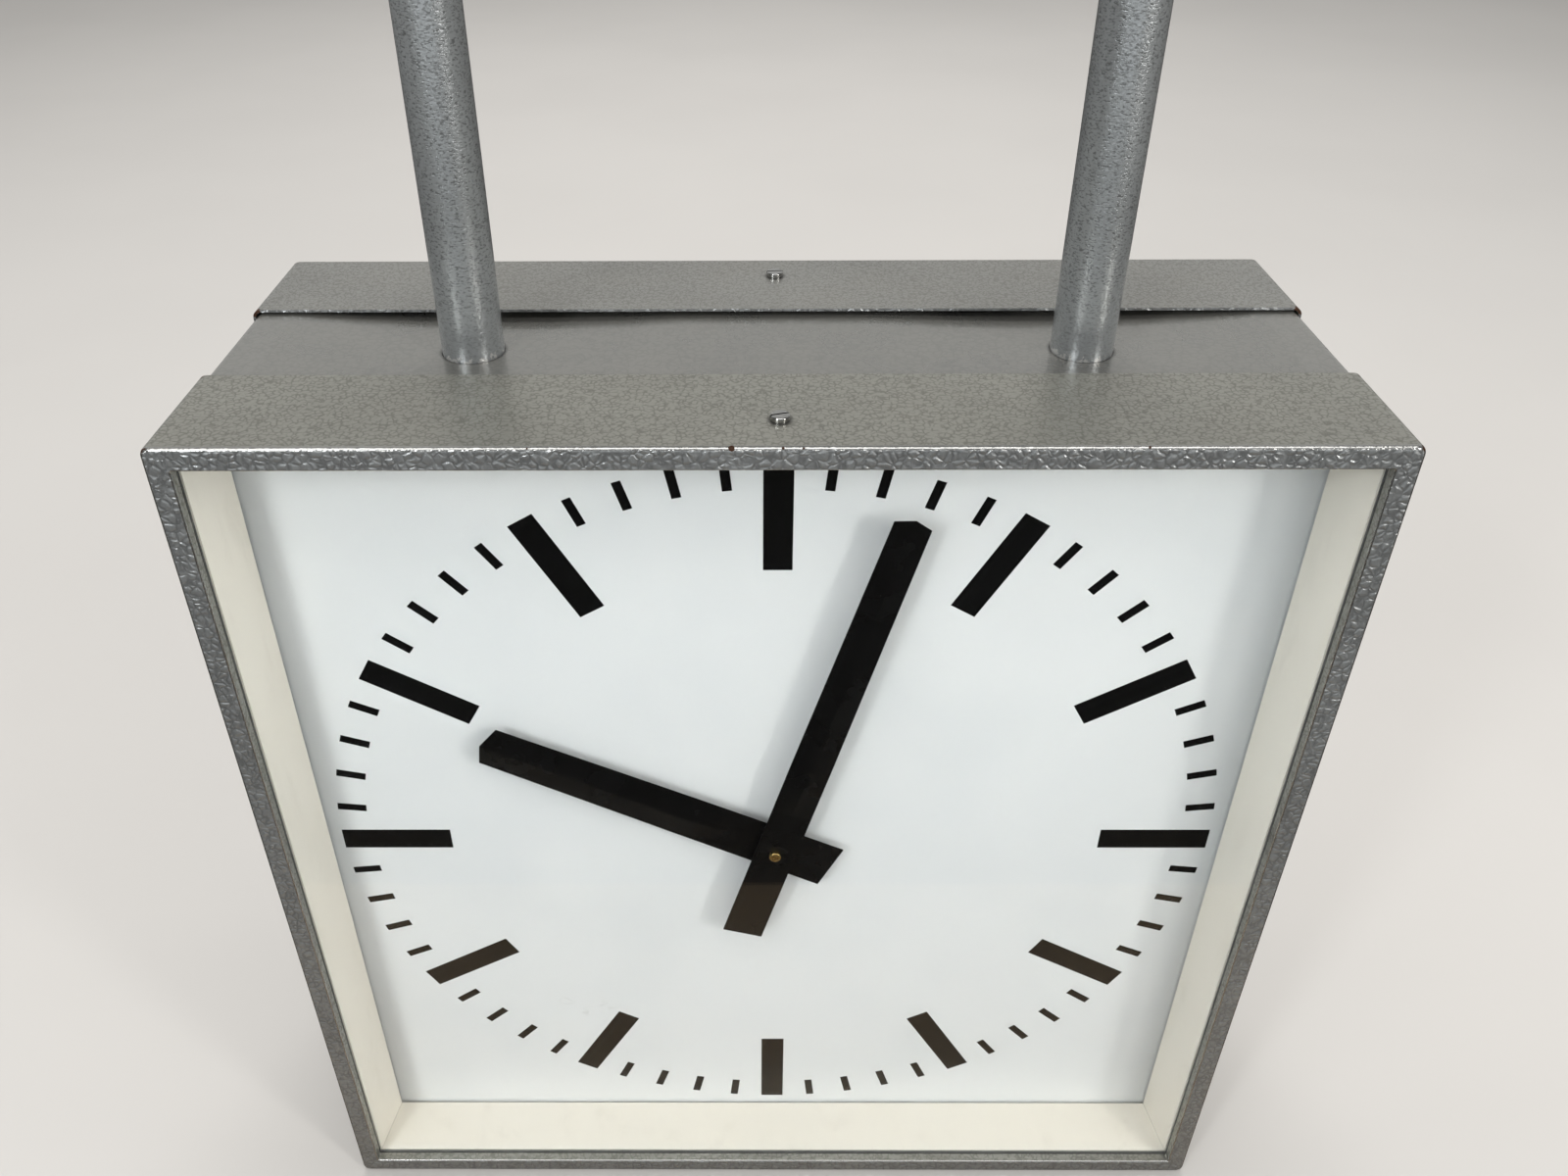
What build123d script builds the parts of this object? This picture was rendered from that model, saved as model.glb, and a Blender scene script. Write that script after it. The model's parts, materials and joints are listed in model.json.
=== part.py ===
from build123d import *
import os
from math import cos, pi, sin

os.makedirs("parts", exist_ok=True)

# Double-sided square clock on two suspension tubes. Millimetres.
# X runs across the face, Y from the front glass to the rear glass, Z up.
# The origin is the middle of the footprint, on the undersides of the two bezels.

# Outside
face_size = 600.0
total_depth = 244.0
total_height = 1000.0
half_face = face_size / 2
dial_centre_z = half_face
front_y = -total_depth / 2

# Bezels: slip covers of folded sheet
sheet = 1.5
bezel_depth = 79.0
bezel_border = 12.5
bezel_lip = 6.0
bezel_corner_radius = 5.0
bezel_bend_radius = 2.6
lip_bend_radius = 1.2
opening_half = half_face - bezel_border
bezel_screw_setback = 28.0

# Case shell, which stands on the lower skirts of the bezels
case_half = 297.5
case_low = sheet
case_top = 597.2
case_setback = 14.0
case_corner_radius = 3.0
flange_opening_half = 288.5
dip_depth = 3.2
dip_reach = 110.0
middle_sag = 1.6

# Stack behind the bezel's lip, as depths from the front face
glass_half = 296.0
glass_start = bezel_lip
glass_thickness = 3.0
glass_corner_cut = 2.0
gasket_half = 295.5
gasket_setback = 0.5
gasket_start = glass_start + glass_thickness
gasket_thickness = 1.5
reveal_start = gasket_start + gasket_thickness
reveal_wall = 1.0
reveal_flange_half = 295.0
reveal_front_half = 287.0
reveal_rear_half = 278.0
reveal_end = 42.5
dial_depth = 44.0
dial_half = 286.0
dial_thickness = 1.5
dial_plane_y = front_y + dial_depth

# Clips that hold glass, gasket and reveal in the bezel
clip_spacing = 300.0
clip_width = 20.0
clip_sheet = 1.0
clip_tab_start = 4.0

# Dial rails and the studs welded to the dials
rail_offset_z = 200.0
rail_height = 25.0
rail_flange = 12.0
rail_tab = 26.0
stud_x = 200.0
stud_radius = 2.0
stud_length = 8.5
stud_clearance = 0.2
stud_nut_flats = 7.0
stud_nut_height = 3.2

# Suspension
tube_x = 165.5
tube_radius = 33.7 / 2
tube_bore_radius = 27.3 / 2
tube_low = 562.0
tube_hole_radius = 17.2
plate_length = 430.0
plate_width = 120.0
plate_thickness = 6.0
plate_corner_radius = 10.0
plate_edge_break = 0.8
plate_hole_spacing_x = 390.0
plate_hole_spacing_y = 80.0
plate_hole_radius = 6.5
cable_hole_radius = 12.5
channel_length = 480.0
channel_width = 60.0
channel_height = 30.0
channel_sheet = 3.0
channel_top = case_top - sheet - dip_depth
washer_radius = 25.0
washer_thickness = 2.5
locknut_flats = 42.0
locknut_height = 8.0
locknut_turn = 12.0
cable_bush_flange_radius = 15.5
cable_bush_flange = 3.0
cable_bush_sleeve = 10.0
cable_bush_hole_radius = 6.0
cable_bush_rounding = 0.8

# Bezel screws and their nut plates
screw_radius = 2.5
screw_head_radius = 5.0
screw_head_height = 3.2
screw_slot_width = 1.2
screw_slot_depth = 1.5
screw_length = 12.0
screw_clearance = 0.25
front_slot_angle, rear_slot_angle = 17.0, 4.0
head_rounding = 0.35
nut_plate_size = (20.0, 16.0, 3.0)

# Terminal block on the front flange of the hanger channel
terminal_count = 6
terminal_pitch = 11.0
terminal_rib = 2.0
terminal_base = 8.0
terminal_rib_depth = 16.0
terminal_height = 22.0
terminal_low = 564.0
terminal_row_offset = 6.0
terminal_screw_radius = 1.5
terminal_head_radius = 2.75
terminal_head_height = 2.0
terminal_screw_length = 5.0
terminal_hole_depth = 6.0
terminal_slot_turn = 17.0
small_slot_width = 0.6
small_slot_depth = 0.8

# Movement. Depths here are heights above the dial's face, towards the viewer.
dial_hole_radius = 5.2
plate_sheet = 1.5
dial_plate_low = -8.0
back_plate_low = -38.0
plate_size = (64.0, 75.0)
plate_middle_y = 9.5
plate_round = 6.0
pillar_places = [(-26.0, -22.0), (26.0, -22.0), (-26.0, 41.0), (26.0, 41.0)]
pillar_radius = 3.0
pillar_screw_radius = 1.5
pillar_screw_length = 6.0
pillar_head_radius = 2.75
pillar_head_height = 2.0
dial_bush_flange_radius = 9.0
dial_bush_neck_radius = 5.0
dial_bush_spigot_radius = 6.0
dial_bush_top = 3.5
dial_bush_nut_flats = 14.0
dial_bush_nut_height = 3.0
running_clearance = 0.05
end_play = 0.4

# Gear train. Each wheel meshes with the pinion named after it.
centre_wheel_teeth, intermediate_pinion_teeth = 50, 10
intermediate_wheel_teeth, rotor_pinion_teeth = 48, 8
cannon_pinion_teeth, motion_wheel_teeth = 12, 36
motion_pinion_teeth, hour_wheel_teeth = 10, 40
train_module = 0.6
cannon_module = 0.75
hour_module = 0.72
wheel_sheet = 1.5
intermediate_v = train_module * (centre_wheel_teeth + intermediate_pinion_teeth) / 2
rotor_v = intermediate_v + train_module * (intermediate_wheel_teeth + rotor_pinion_teeth) / 2
motion_u = -cannon_module * (cannon_pinion_teeth + motion_wheel_teeth) / 2
arbor_radius = 1.5
pivot_radius = 1.0
minute_arbor_radius = 2.5
hand_spigot_radius = 2.0
spigot_length = 1.5
hour_pipe_radius = 3.5
hour_flange_radius = 6.5
hour_flange_height = 1.7
hour_pipe_tail = 0.6
centre_wheel_low = -21.5
intermediate_wheel_low = -26.5
motion_wheel_low = -15.5
hour_wheel_low = -12.0
pinion_overhang = 1.0
train_pinion_height = 3.5
cannon_overhang = 1.4
cannon_height = 3.8
motion_pinion_height = 7.0
motion_wheel_hub = 6.5
wheel_hub_wall = 2.5
wheel_spoke = 2.4
motion_stud_overhang = 2.0
motion_stud_head = (2.2, 0.6)
magnet_radius = 10.0
magnet_low = -35.4
magnet_thickness = 4.4

# Stator and coil
stator_thickness = 5.0
stator_gap = 0.8
stator_half = 19.0
limb_width = 7.0
shoe_inner = 5.0
shoe_low = 26.0
shoe_high = 43.6
yoke_low, yoke_high = 56.0, 64.0
coil_half_length = 11.0
coil_flange = 1.2
coil_flange_size = (18.0, 16.0)
coil_core_gap = 0.2
coil_core_wall = 1.0
winding_size = (16.4, 14.4)
winding_round = 3.0

# Hands: folded sheet with a ridge along the blade, flat at the hub
hand_sheet = 0.8
hand_ridge = 2.6
hour_hand_face = 8.0
minute_hand_face = 14.0
minute_angle = 16.0
hour_angle = 296.5
hand_fold = (35.0, 58.0)
hand_chevron = 4.5
minute_blade = {"length": 253.0, "tail": 75.0, "shoulder": 75.0, "half_widths": (12.8, 12.2, 10.2)}
hour_blade = {"length": 193.0, "tail": 39.0, "shoulder": 60.0, "half_widths": (17.0, 16.0, 14.0)}
hand_nut_radius = 3.6
hand_nut_height = 2.6
hand_nut_slot_width = 0.8
hand_nut_slot_depth = 0.7


def block(low, high):
    size = [b - a for a, b in zip(low, high)]
    middle = [(a + b) / 2 for a, b in zip(low, high)]
    return Pos(*middle) * Box(*size)


def slab(half, start, end):
    """A square block about the dial's axis, between two depths behind the front face."""
    return block((-half, front_y + start, dial_centre_z - half),
                 (half, front_y + end, dial_centre_z + half))


def rod(radius, low, high):
    return Pos(0, 0, low) * Cylinder(radius, high - low, align=(Align.CENTER, Align.CENTER, Align.MIN))


def upright_rod(radius, x, y, low, high):
    return Pos(x, y, 0) * rod(radius, low, high)


def hexagon(flats, bore, low, height):
    prism = extrude(RegularPolygon(flats / 2, 6, major_radius=False), height)
    return Pos(0, 0, low) * prism - rod(bore, low, low + height)


def turned_back(shape):
    """The same piece on the rear side of the clock."""
    return Rot(0, 0, 180) * shape


def on_both_sides(*shapes):
    return list(shapes) + [turned_back(shape) for shape in shapes]


def save(node, *solids):
    shape = solids[0] if len(solids) == 1 else Compound(children=list(solids))
    export_step(shape, f"parts/{node}.step")


def slotted_head(radius, height, slot_width, slot_depth):
    """A pan head standing on z = 0, with a straight slot."""
    head = rod(radius, 0, height)
    head = fillet(head.edges().sort_by(Axis.Z)[-1], height * head_rounding)
    slot = block((-radius, -slot_width / 2, height - slot_depth), (radius, slot_width / 2, height))
    return head - slot


# ---- Case, bezels, glass and dials


def bezel():
    outer = slab(half_face, 0, bezel_depth)
    outer = fillet(outer.edges().filter_by(Axis.Y), bezel_corner_radius)
    outer = fillet(outer.faces().sort_by(Axis.Y)[0].edges(), bezel_bend_radius)
    pocket = slab(half_face - sheet, sheet, bezel_depth + sheet)
    pocket = fillet(pocket.edges().filter_by(Axis.Y), bezel_corner_radius - sheet)
    pocket = fillet(pocket.faces().sort_by(Axis.Y)[0].edges(), bezel_bend_radius - sheet)
    opening = slab(opening_half, -sheet, bezel_depth)
    opening = fillet(opening.edges().filter_by(Axis.Y), lip_bend_radius)
    lip = slab(opening_half + sheet, sheet / 2, bezel_lip)
    lip = fillet(lip.edges().filter_by(Axis.Y), lip_bend_radius + sheet)
    shape = (outer - pocket) + lip - opening
    border = shape.faces().filter_by(Axis.Y).sort_by(Axis.Y)[0]
    shape = fillet(border.inner_wires()[0].edges(), lip_bend_radius)
    screw_y = front_y + bezel_screw_setback
    return shape - upright_rod(screw_radius + screw_clearance, 0, screw_y, case_top, face_size + sheet)


def case_section(inset):
    """The band's outline, with the top sheet pulled down round each tube and a little between them."""
    side = case_half - inset
    low = case_low + inset
    top = case_top - inset
    dip_bottom = top - dip_depth
    middle = top - middle_sag
    near, far = tube_x - dip_reach, tube_x + dip_reach
    edges = [
        Line((-side, 0, low), (side, 0, low)),
        Line((side, 0, low), (side, 0, top)),
        Line((side, 0, top), (far, 0, top)),
        ThreePointArc((far, 0, top), (tube_x, 0, dip_bottom), (near, 0, middle)),
        Line((near, 0, middle), (-near, 0, middle)),
        ThreePointArc((-near, 0, middle), (-tube_x, 0, dip_bottom), (-far, 0, top)),
        Line((-far, 0, top), (-side, 0, top)),
        Line((-side, 0, top), (-side, 0, low)),
    ]
    return make_face(Wire(edges))


def case_shell():
    half_depth = total_depth / 2 - case_setback
    outer = extrude(Pos(0, -half_depth, 0) * case_section(0), 2 * half_depth, dir=(0, 1, 0))
    corners = [edge for edge in outer.edges().filter_by(Axis.Y) if abs(edge.center().X) > case_half - sheet]
    outer = fillet(corners, case_corner_radius)
    inner_half = half_depth - sheet
    inner = extrude(Pos(0, -inner_half, 0) * case_section(sheet), 2 * inner_half, dir=(0, 1, 0))
    opening = slab(flange_opening_half, 0, total_depth)
    shell = outer - inner - opening
    for side in (-1, 1):
        shell -= upright_rod(tube_hole_radius, side * tube_x, 0, channel_top, face_size)
        screw_y = side * (total_depth / 2 - bezel_screw_setback)
        shell -= upright_rod(screw_radius + screw_clearance, 0, screw_y, channel_top, face_size)
    return shell


def glass():
    pane = slab(glass_half, glass_start, glass_start + glass_thickness)
    return chamfer(pane.edges().filter_by(Axis.Y), glass_corner_cut)


def gasket():
    end = gasket_start + gasket_thickness
    return slab(gasket_half, gasket_start, end) - slab(opening_half + gasket_setback, gasket_start, end)


def splayed_block(front_half, rear_half, start, end):
    sections = []
    for half, depth in ((front_half, start), (rear_half, end)):
        plane = Plane((0, front_y + depth, dial_centre_z), x_dir=(1, 0, 0), z_dir=(0, 1, 0))
        sections.append(plane * Rectangle(2 * half, 2 * half))
    return loft(sections)


def reveal():
    flange = slab(reveal_flange_half, reveal_start, reveal_start + reveal_wall)
    outside = splayed_block(reveal_front_half + reveal_wall, reveal_rear_half + reveal_wall,
                            reveal_start, reveal_end)
    inside = splayed_block(reveal_front_half, reveal_rear_half, reveal_start, reveal_end)
    return flange + outside - inside


def dial():
    plate = slab(dial_half, dial_depth, dial_depth + dial_thickness)
    hole = Pos(0, dial_plane_y, dial_centre_z) * Rot(90, 0, 0) * rod(dial_hole_radius, -dial_thickness, 1)
    plate -= hole
    for x in (-stud_x, stud_x):
        for z in (-rail_offset_z, rail_offset_z):
            stud = rod(stud_radius, 0, stud_length)
            plate += Pos(x, dial_plane_y + dial_thickness, dial_centre_z + z) * Rot(-90, 0, 0) * stud
    return plate


def dial_stud_nuts():
    nuts = []
    nut = hexagon(stud_nut_flats, stud_radius, 0, stud_nut_height)
    for x in (-stud_x, stud_x):
        for z in (-rail_offset_z, rail_offset_z):
            seat = Pos(x, dial_plane_y + dial_thickness + sheet, dial_centre_z + z)
            nuts.append(seat * Rot(-90, 0, 0) * nut)
    return nuts


def dial_rail(z):
    """A channel across the case behind the dial, with a tab on each side wall."""
    end = case_half - sheet
    back = dial_plane_y + dial_thickness
    low, high = dial_centre_z + z - rail_height / 2, dial_centre_z + z + rail_height / 2
    rail = block((-end, back, low), (end, back + sheet, high))
    for edge_low, edge_high in ((low, low + sheet), (high - sheet, high)):
        rail += block((-end, back, edge_low), (end, back + rail_flange, edge_high))
    for x_low, x_high in ((-end, -end + sheet), (end - sheet, end)):
        rail += block((x_low, back, low), (x_high, back + rail_tab, high))
    for x in (-stud_x, stud_x):
        seat = Pos(x, back, dial_centre_z + z) * Rot(-90, 0, 0)
        rail -= seat * rod(stud_radius + stud_clearance, 0, sheet)
    return rail


def clip(along):
    """An angle clip on the right-hand skirt: a tab on the skirt and a leaf on the reveal's flange."""
    wall = half_face - sheet
    z_low = dial_centre_z + along - clip_width / 2
    z_high = z_low + clip_width
    leaf_start = front_y + reveal_start + reveal_wall
    leaf_inner = opening_half + gasket_setback
    leaf = block((leaf_inner, leaf_start, z_low), (wall, leaf_start + clip_sheet, z_high))
    tab_start = front_y + clip_tab_start
    tab = block((wall - clip_sheet, tab_start, z_low), (wall, leaf_start + clip_sheet, z_high))
    return leaf + tab


def glass_clips():
    clips = []
    axis = Axis((0, 0, dial_centre_z), (0, 1, 0))
    for quarter in range(4):
        for along in (-clip_spacing / 2, clip_spacing / 2):
            clips.append(clip(along).rotate(axis, 90 * quarter))
    return clips


def bezel_screw(slot_angle):
    shank = rod(screw_radius, -screw_length, 0)
    head = slotted_head(screw_head_radius, screw_head_height, screw_slot_width, screw_slot_depth)
    return Pos(0, front_y + bezel_screw_setback, face_size) * Rot(0, 0, slot_angle) * (shank + head)


def nut_plate():
    width, depth, height = nut_plate_size
    screw_y = front_y + bezel_screw_setback
    top = case_top - middle_sag - sheet
    plate = block((-width / 2, screw_y - depth / 2, top - height), (width / 2, screw_y + depth / 2, top))
    return plate - upright_rod(screw_radius, 0, screw_y, top - height, top)


# ---- Suspension and cable entry


def tube(x):
    top = total_height - plate_thickness
    wall = upright_rod(tube_radius, x, 0, tube_low, top)
    return wall - upright_rod(tube_bore_radius, x, 0, tube_low, top)


def ceiling_plate():
    outline = RectangleRounded(plate_length, plate_width, plate_corner_radius)
    plate = Pos(0, 0, total_height - plate_thickness) * extrude(outline, plate_thickness)
    for x in (-plate_hole_spacing_x / 2, plate_hole_spacing_x / 2):
        for y in (-plate_hole_spacing_y / 2, plate_hole_spacing_y / 2):
            plate -= upright_rod(plate_hole_radius, x, y, total_height - plate_thickness, total_height)
    plate -= upright_rod(cable_hole_radius, -tube_x, 0, total_height - plate_thickness, total_height)
    return chamfer(plate.faces().sort_by(Axis.Z)[0].outer_wire().edges(), plate_edge_break)


def hanger_channel():
    half = channel_length / 2
    wide = channel_width / 2
    low = channel_top - channel_height
    inner = wide - channel_sheet
    channel = block((-half, -wide, low), (half, wide, channel_top))
    channel -= block((-half, -inner, low), (half, inner, channel_top - channel_sheet))
    for x in (-tube_x, tube_x):
        channel -= upright_rod(tube_hole_radius, x, 0, low, channel_top)
    return channel


def tube_washer(x):
    high = channel_top - channel_sheet
    washer = upright_rod(washer_radius, x, 0, high - washer_thickness, high)
    return washer - upright_rod(tube_hole_radius, x, 0, high - washer_thickness, high)


def tube_locknut(x, order):
    high = channel_top - channel_sheet - washer_thickness - order * locknut_height
    nut = hexagon(locknut_flats, tube_radius, high - locknut_height, locknut_height)
    return Pos(x, 0, 0) * Rot(0, 0, 30 - locknut_turn * order) * nut


def cable_bush():
    low, high = -cable_bush_flange, cable_bush_sleeve
    bush = rod(cable_bush_flange_radius, low, 0) + rod(tube_bore_radius, 0, high)
    bush -= rod(cable_bush_hole_radius, low, high)
    bush = fillet(bush.edges().group_by(Axis.Z)[0], cable_bush_rounding)
    return Pos(-tube_x, 0, tube_low) * bush


def terminal_block():
    back = -channel_width / 2
    half = terminal_count * terminal_pitch / 2 + terminal_rib / 2
    high = terminal_low + terminal_height
    strip = block((-half, back - terminal_base, terminal_low), (half, back, high))
    for rib in range(terminal_count + 1):
        x = (rib - terminal_count / 2) * terminal_pitch
        strip += block((x - terminal_rib / 2, back - terminal_rib_depth, terminal_low),
                       (x + terminal_rib / 2, back, high))
    for seat in terminal_places():
        strip -= seat * rod(terminal_screw_radius, -terminal_hole_depth, 0)
    return strip


def terminal_places():
    face = -channel_width / 2 - terminal_base
    middle = terminal_low + terminal_height / 2
    for row in (-1, 1):
        for column in range(terminal_count):
            x = (column - (terminal_count - 1) / 2) * terminal_pitch
            yield Pos(x, face, middle + row * terminal_row_offset) * Rot(90, 0, 0)


def terminal_screws():
    head = slotted_head(terminal_head_radius, terminal_head_height, small_slot_width, small_slot_depth)
    screw = head + rod(terminal_screw_radius, -terminal_screw_length, 0)
    turns = [Rot(0, 0, terminal_slot_turn * order) for order in range(2 * terminal_count)]
    return [seat * turn * screw for seat, turn in zip(terminal_places(), turns)]


# ---- Movement: built with the dial's face at z = 0, the viewer on +z and twelve o'clock on +y


front_seat = Pos(0, dial_plane_y, dial_centre_z) * Rot(90, 0, 0)
seats = {"front": front_seat, "rear": Rot(0, 0, 180) * front_seat}


def gear(teeth, module, low, height, bore, tooth_at, leaves):
    """A toothed disc. Leaves are the thick-rooted teeth of a pinion."""
    pitch = module * teeth / 2
    step = 2 * pi / teeth
    if leaves:
        root, tip = pitch - 1.4 * module, pitch + 0.75 * module
        profile = ((root, 0.8), (pitch, 0.7), (tip, 0.42))
    else:
        root, tip = pitch - 1.25 * module, pitch + module
        profile = ((root, 0.86), (pitch, 0.72), (tip, 0.3))
    points = []
    for tooth in range(teeth):
        middle = tooth_at * pi / 180 + tooth * step
        rising = [(radius, middle - share * step / 4) for radius, share in profile]
        falling = [(radius, middle + share * step / 4) for radius, share in reversed(profile)]
        points += [(radius * cos(angle), radius * sin(angle)) for radius, angle in rising + falling]
    outline = make_face(Polyline(*points, close=True))
    disc = Pos(0, 0, low) * extrude(outline, height)
    return disc - rod(bore, low, low + height) if bore else disc


def crossed_out(wheel, teeth, module, low, hub_radius):
    """Cuts the four windows that leave a rim, a hub and four spokes."""
    rim_radius = module * teeth / 2 - 3.0 * module
    ring = rod(rim_radius, low, low + wheel_sheet) - rod(hub_radius, low, low + wheel_sheet)
    for turn in (45, 135):
        arms = block((-rim_radius, -wheel_spoke / 2, low), (rim_radius, wheel_spoke / 2, low + wheel_sheet))
        ring -= Rot(0, 0, turn) * arms
    return wheel - ring


def spoked_wheel(teeth, module, low, bore, tooth_at):
    disc = gear(teeth, module, low, wheel_sheet, bore, tooth_at, leaves=False)
    return crossed_out(disc, teeth, module, low, bore + wheel_hub_wall)


def plate_outline(low):
    outline = Pos(0, plate_middle_y) * RectangleRounded(*plate_size, plate_round)
    plate = Pos(0, 0, low) * extrude(outline, plate_sheet)
    for v in (intermediate_v, rotor_v):
        plate -= Pos(0, v, 0) * rod(pivot_radius + running_clearance, low, low + plate_sheet)
    for u, v in pillar_places:
        plate -= Pos(u, v, 0) * rod(pillar_screw_radius, low, low + plate_sheet)
    return plate


def movement_dial_plate():
    plate = plate_outline(dial_plate_low)
    plate -= rod(dial_bush_spigot_radius, dial_plate_low, dial_plate_low + plate_sheet)
    return plate - Pos(motion_u, 0, 0) * rod(arbor_radius, dial_plate_low, dial_plate_low + plate_sheet)


def movement_back_plate():
    hole = rod(arbor_radius + running_clearance, back_plate_low, back_plate_low + plate_sheet)
    return plate_outline(back_plate_low) - hole


def pillars():
    low, high = back_plate_low + plate_sheet, dial_plate_low
    pillar = rod(pillar_radius, low, high)
    for start in (low, high - pillar_screw_length):
        pillar -= rod(pillar_screw_radius, start, start + pillar_screw_length)
    return [Pos(u, v, 0) * pillar for u, v in pillar_places]


def pillar_screws():
    reach = plate_sheet + pillar_screw_length
    head = slotted_head(pillar_head_radius, pillar_head_height, small_slot_width, small_slot_depth)
    screw = head + rod(pillar_screw_radius, -reach, 0)
    screws = []
    for u, v in pillar_places:
        screws.append(Pos(u, v, dial_plate_low + plate_sheet) * Rot(0, 0, u) * screw)
        screws.append(Pos(u, v, back_plate_low) * Rot(180, 0, v) * screw)
    return screws


def dial_bush():
    bush = rod(dial_bush_spigot_radius, dial_plate_low, dial_plate_low + plate_sheet)
    bush += rod(dial_bush_flange_radius, dial_plate_low + plate_sheet, -dial_thickness)
    bush += rod(dial_bush_neck_radius, -dial_thickness, dial_bush_top)
    return bush - rod(hour_pipe_radius + running_clearance, dial_plate_low, dial_bush_top)


def dial_bush_nut():
    return hexagon(dial_bush_nut_flats, dial_bush_neck_radius, 0, dial_bush_nut_height)


def motion_stud():
    head_radius, head_height = motion_stud_head
    low = motion_wheel_low - motion_stud_overhang
    stud = rod(arbor_radius, low, dial_plate_low + plate_sheet) + rod(head_radius, low, low + head_height)
    return Pos(motion_u, 0, 0) * stud


def stator_core():
    low = back_plate_low + plate_sheet
    high = low + stator_thickness
    core = block((-stator_half, yoke_low, low), (stator_half, yoke_high, high))
    for side in (-1, 1):
        for inner, start, end in ((shoe_inner, shoe_low, shoe_high),
                                  (stator_half - limb_width, shoe_low, yoke_high)):
            x_low, x_high = sorted((side * inner, side * stator_half))
            core += block((x_low, start, low), (x_high, end, high))
    return core - Pos(0, rotor_v, 0) * rod(magnet_radius + stator_gap, low, high)


def centred_block(length, size, middle):
    """A block along x about a middle point, with its size across y and z."""
    return Pos(*middle) * Box(length, *size)


def coil_pieces():
    """The bobbin round the yoke and the winding between its flanges."""
    yoke_height = yoke_high - yoke_low
    middle = (0, (yoke_low + yoke_high) / 2, back_plate_low + plate_sheet + stator_thickness / 2)
    bore = (yoke_height + 2 * coil_core_gap, stator_thickness + 2 * coil_core_gap)
    core = (bore[0] + 2 * coil_core_wall, bore[1] + 2 * coil_core_wall)
    bobbin = centred_block(2 * coil_half_length, core, middle)
    for side in (-1, 1):
        x = side * (coil_half_length - coil_flange / 2)
        bobbin += centred_block(coil_flange, coil_flange_size, (x, middle[1], middle[2]))
    bobbin -= centred_block(2 * coil_half_length, bore, middle)
    length = 2 * (coil_half_length - coil_flange)
    winding = centred_block(length, winding_size, middle)
    winding = fillet(winding.edges().filter_by(Axis.X), winding_round)
    return bobbin, winding - centred_block(length, core, middle)


def pinion_arbor(v, teeth, wheel_low):
    """An arbor between the plates, with a pivot in each plate and a pinion cut on it."""
    low = back_plate_low + plate_sheet + end_play
    high = dial_plate_low - end_play
    arbor = rod(arbor_radius, low, high)
    arbor += rod(pivot_radius, back_plate_low, low) + rod(pivot_radius, high, dial_plate_low + plate_sheet)
    pinion_low = wheel_low - pinion_overhang
    arbor += gear(teeth, train_module, pinion_low, train_pinion_height, 0, 270 + 180 / teeth, leaves=True)
    return Pos(0, v, 0) * arbor


def minute_arbor():
    low = back_plate_low + plate_sheet + end_play
    hand_seat = minute_hand_face - hand_sheet
    arbor = rod(minute_arbor_radius, low, hand_seat) + rod(arbor_radius, back_plate_low, low)
    arbor += rod(hand_spigot_radius, hand_seat, minute_hand_face + spigot_length)
    low = motion_wheel_low - cannon_overhang
    return arbor + gear(cannon_pinion_teeth, cannon_module, low, cannon_height, 0, 180, leaves=True)


def hour_pipe():
    low = hour_wheel_low - hour_pipe_tail
    seat = hour_hand_face - hand_sheet
    pipe = rod(hour_pipe_radius, low, hour_hand_face)
    pipe += rod(hour_flange_radius, seat - hour_flange_height, seat)
    return pipe - rod(minute_arbor_radius + running_clearance, low, hour_hand_face)


def rotor_magnet():
    magnet = rod(magnet_radius, magnet_low, magnet_low + magnet_thickness)
    magnet -= rod(arbor_radius, magnet_low, magnet_low + magnet_thickness)
    return Pos(0, rotor_v, 0) * magnet


def motion_pinion():
    low = motion_wheel_low - pinion_overhang
    bore = arbor_radius + running_clearance
    pinion = gear(motion_pinion_teeth, hour_module, low, motion_pinion_height, bore, 0, leaves=True)
    return Pos(motion_u, 0, 0) * pinion


def motion_wheel():
    # The wheel is pressed over the pinion's leaves, so its bore is the pinion's own outline.
    low = motion_wheel_low
    half_tooth = 180 / motion_wheel_teeth
    disc = gear(motion_wheel_teeth, cannon_module, low, wheel_sheet, 0, half_tooth, leaves=False)
    disc -= gear(motion_pinion_teeth, hour_module, low, wheel_sheet, 0, 0, leaves=True)
    return Pos(motion_u, 0, 0) * crossed_out(disc, motion_wheel_teeth, cannon_module, low, motion_wheel_hub)


def hand(length, tail, shoulder, half_widths, face, bore):
    """A folded hand that points to +y. Half widths are those at the tail, shoulder and tip."""
    tail_half, shoulder_half, tip_half = half_widths
    spare = 20.0
    slope = hand_ridge / shoulder_half
    sections = []
    fold_start, fold_end = hand_fold
    for v, ridge in ((-tail - 1, 0), (fold_start, 0), (fold_end, hand_ridge), (length + 1, hand_ridge)):
        edge = ridge - slope * spare if ridge else 0
        top = [(-spare, v, edge), (0, v, ridge), (spare, v, edge)]
        under = [(u, v, height - hand_sheet) for u, v, height in reversed(top)]
        sections.append(make_face(Polyline(*top, *under, close=True)))
    folded = loft(sections, ruled=True)
    right = [(tail_half, -tail), (shoulder_half, shoulder), (tip_half, length - hand_chevron)]
    left = [(-u, v) for u, v in reversed(right)]
    outline = make_face(Polyline(*right, (0, length), *left, close=True))
    blade = folded & Pos(0, 0, -spare) * extrude(outline, 2 * spare)
    return Pos(0, 0, face) * (blade - rod(bore, -hand_sheet, hand_sheet))


def minute_hand():
    blade = hand(**minute_blade, face=minute_hand_face, bore=hand_spigot_radius)
    return Rot(0, 0, -minute_angle) * blade


def hour_hand():
    blade = hand(**hour_blade, face=hour_hand_face, bore=hour_pipe_radius)
    return Rot(0, 0, -hour_angle) * blade


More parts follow.
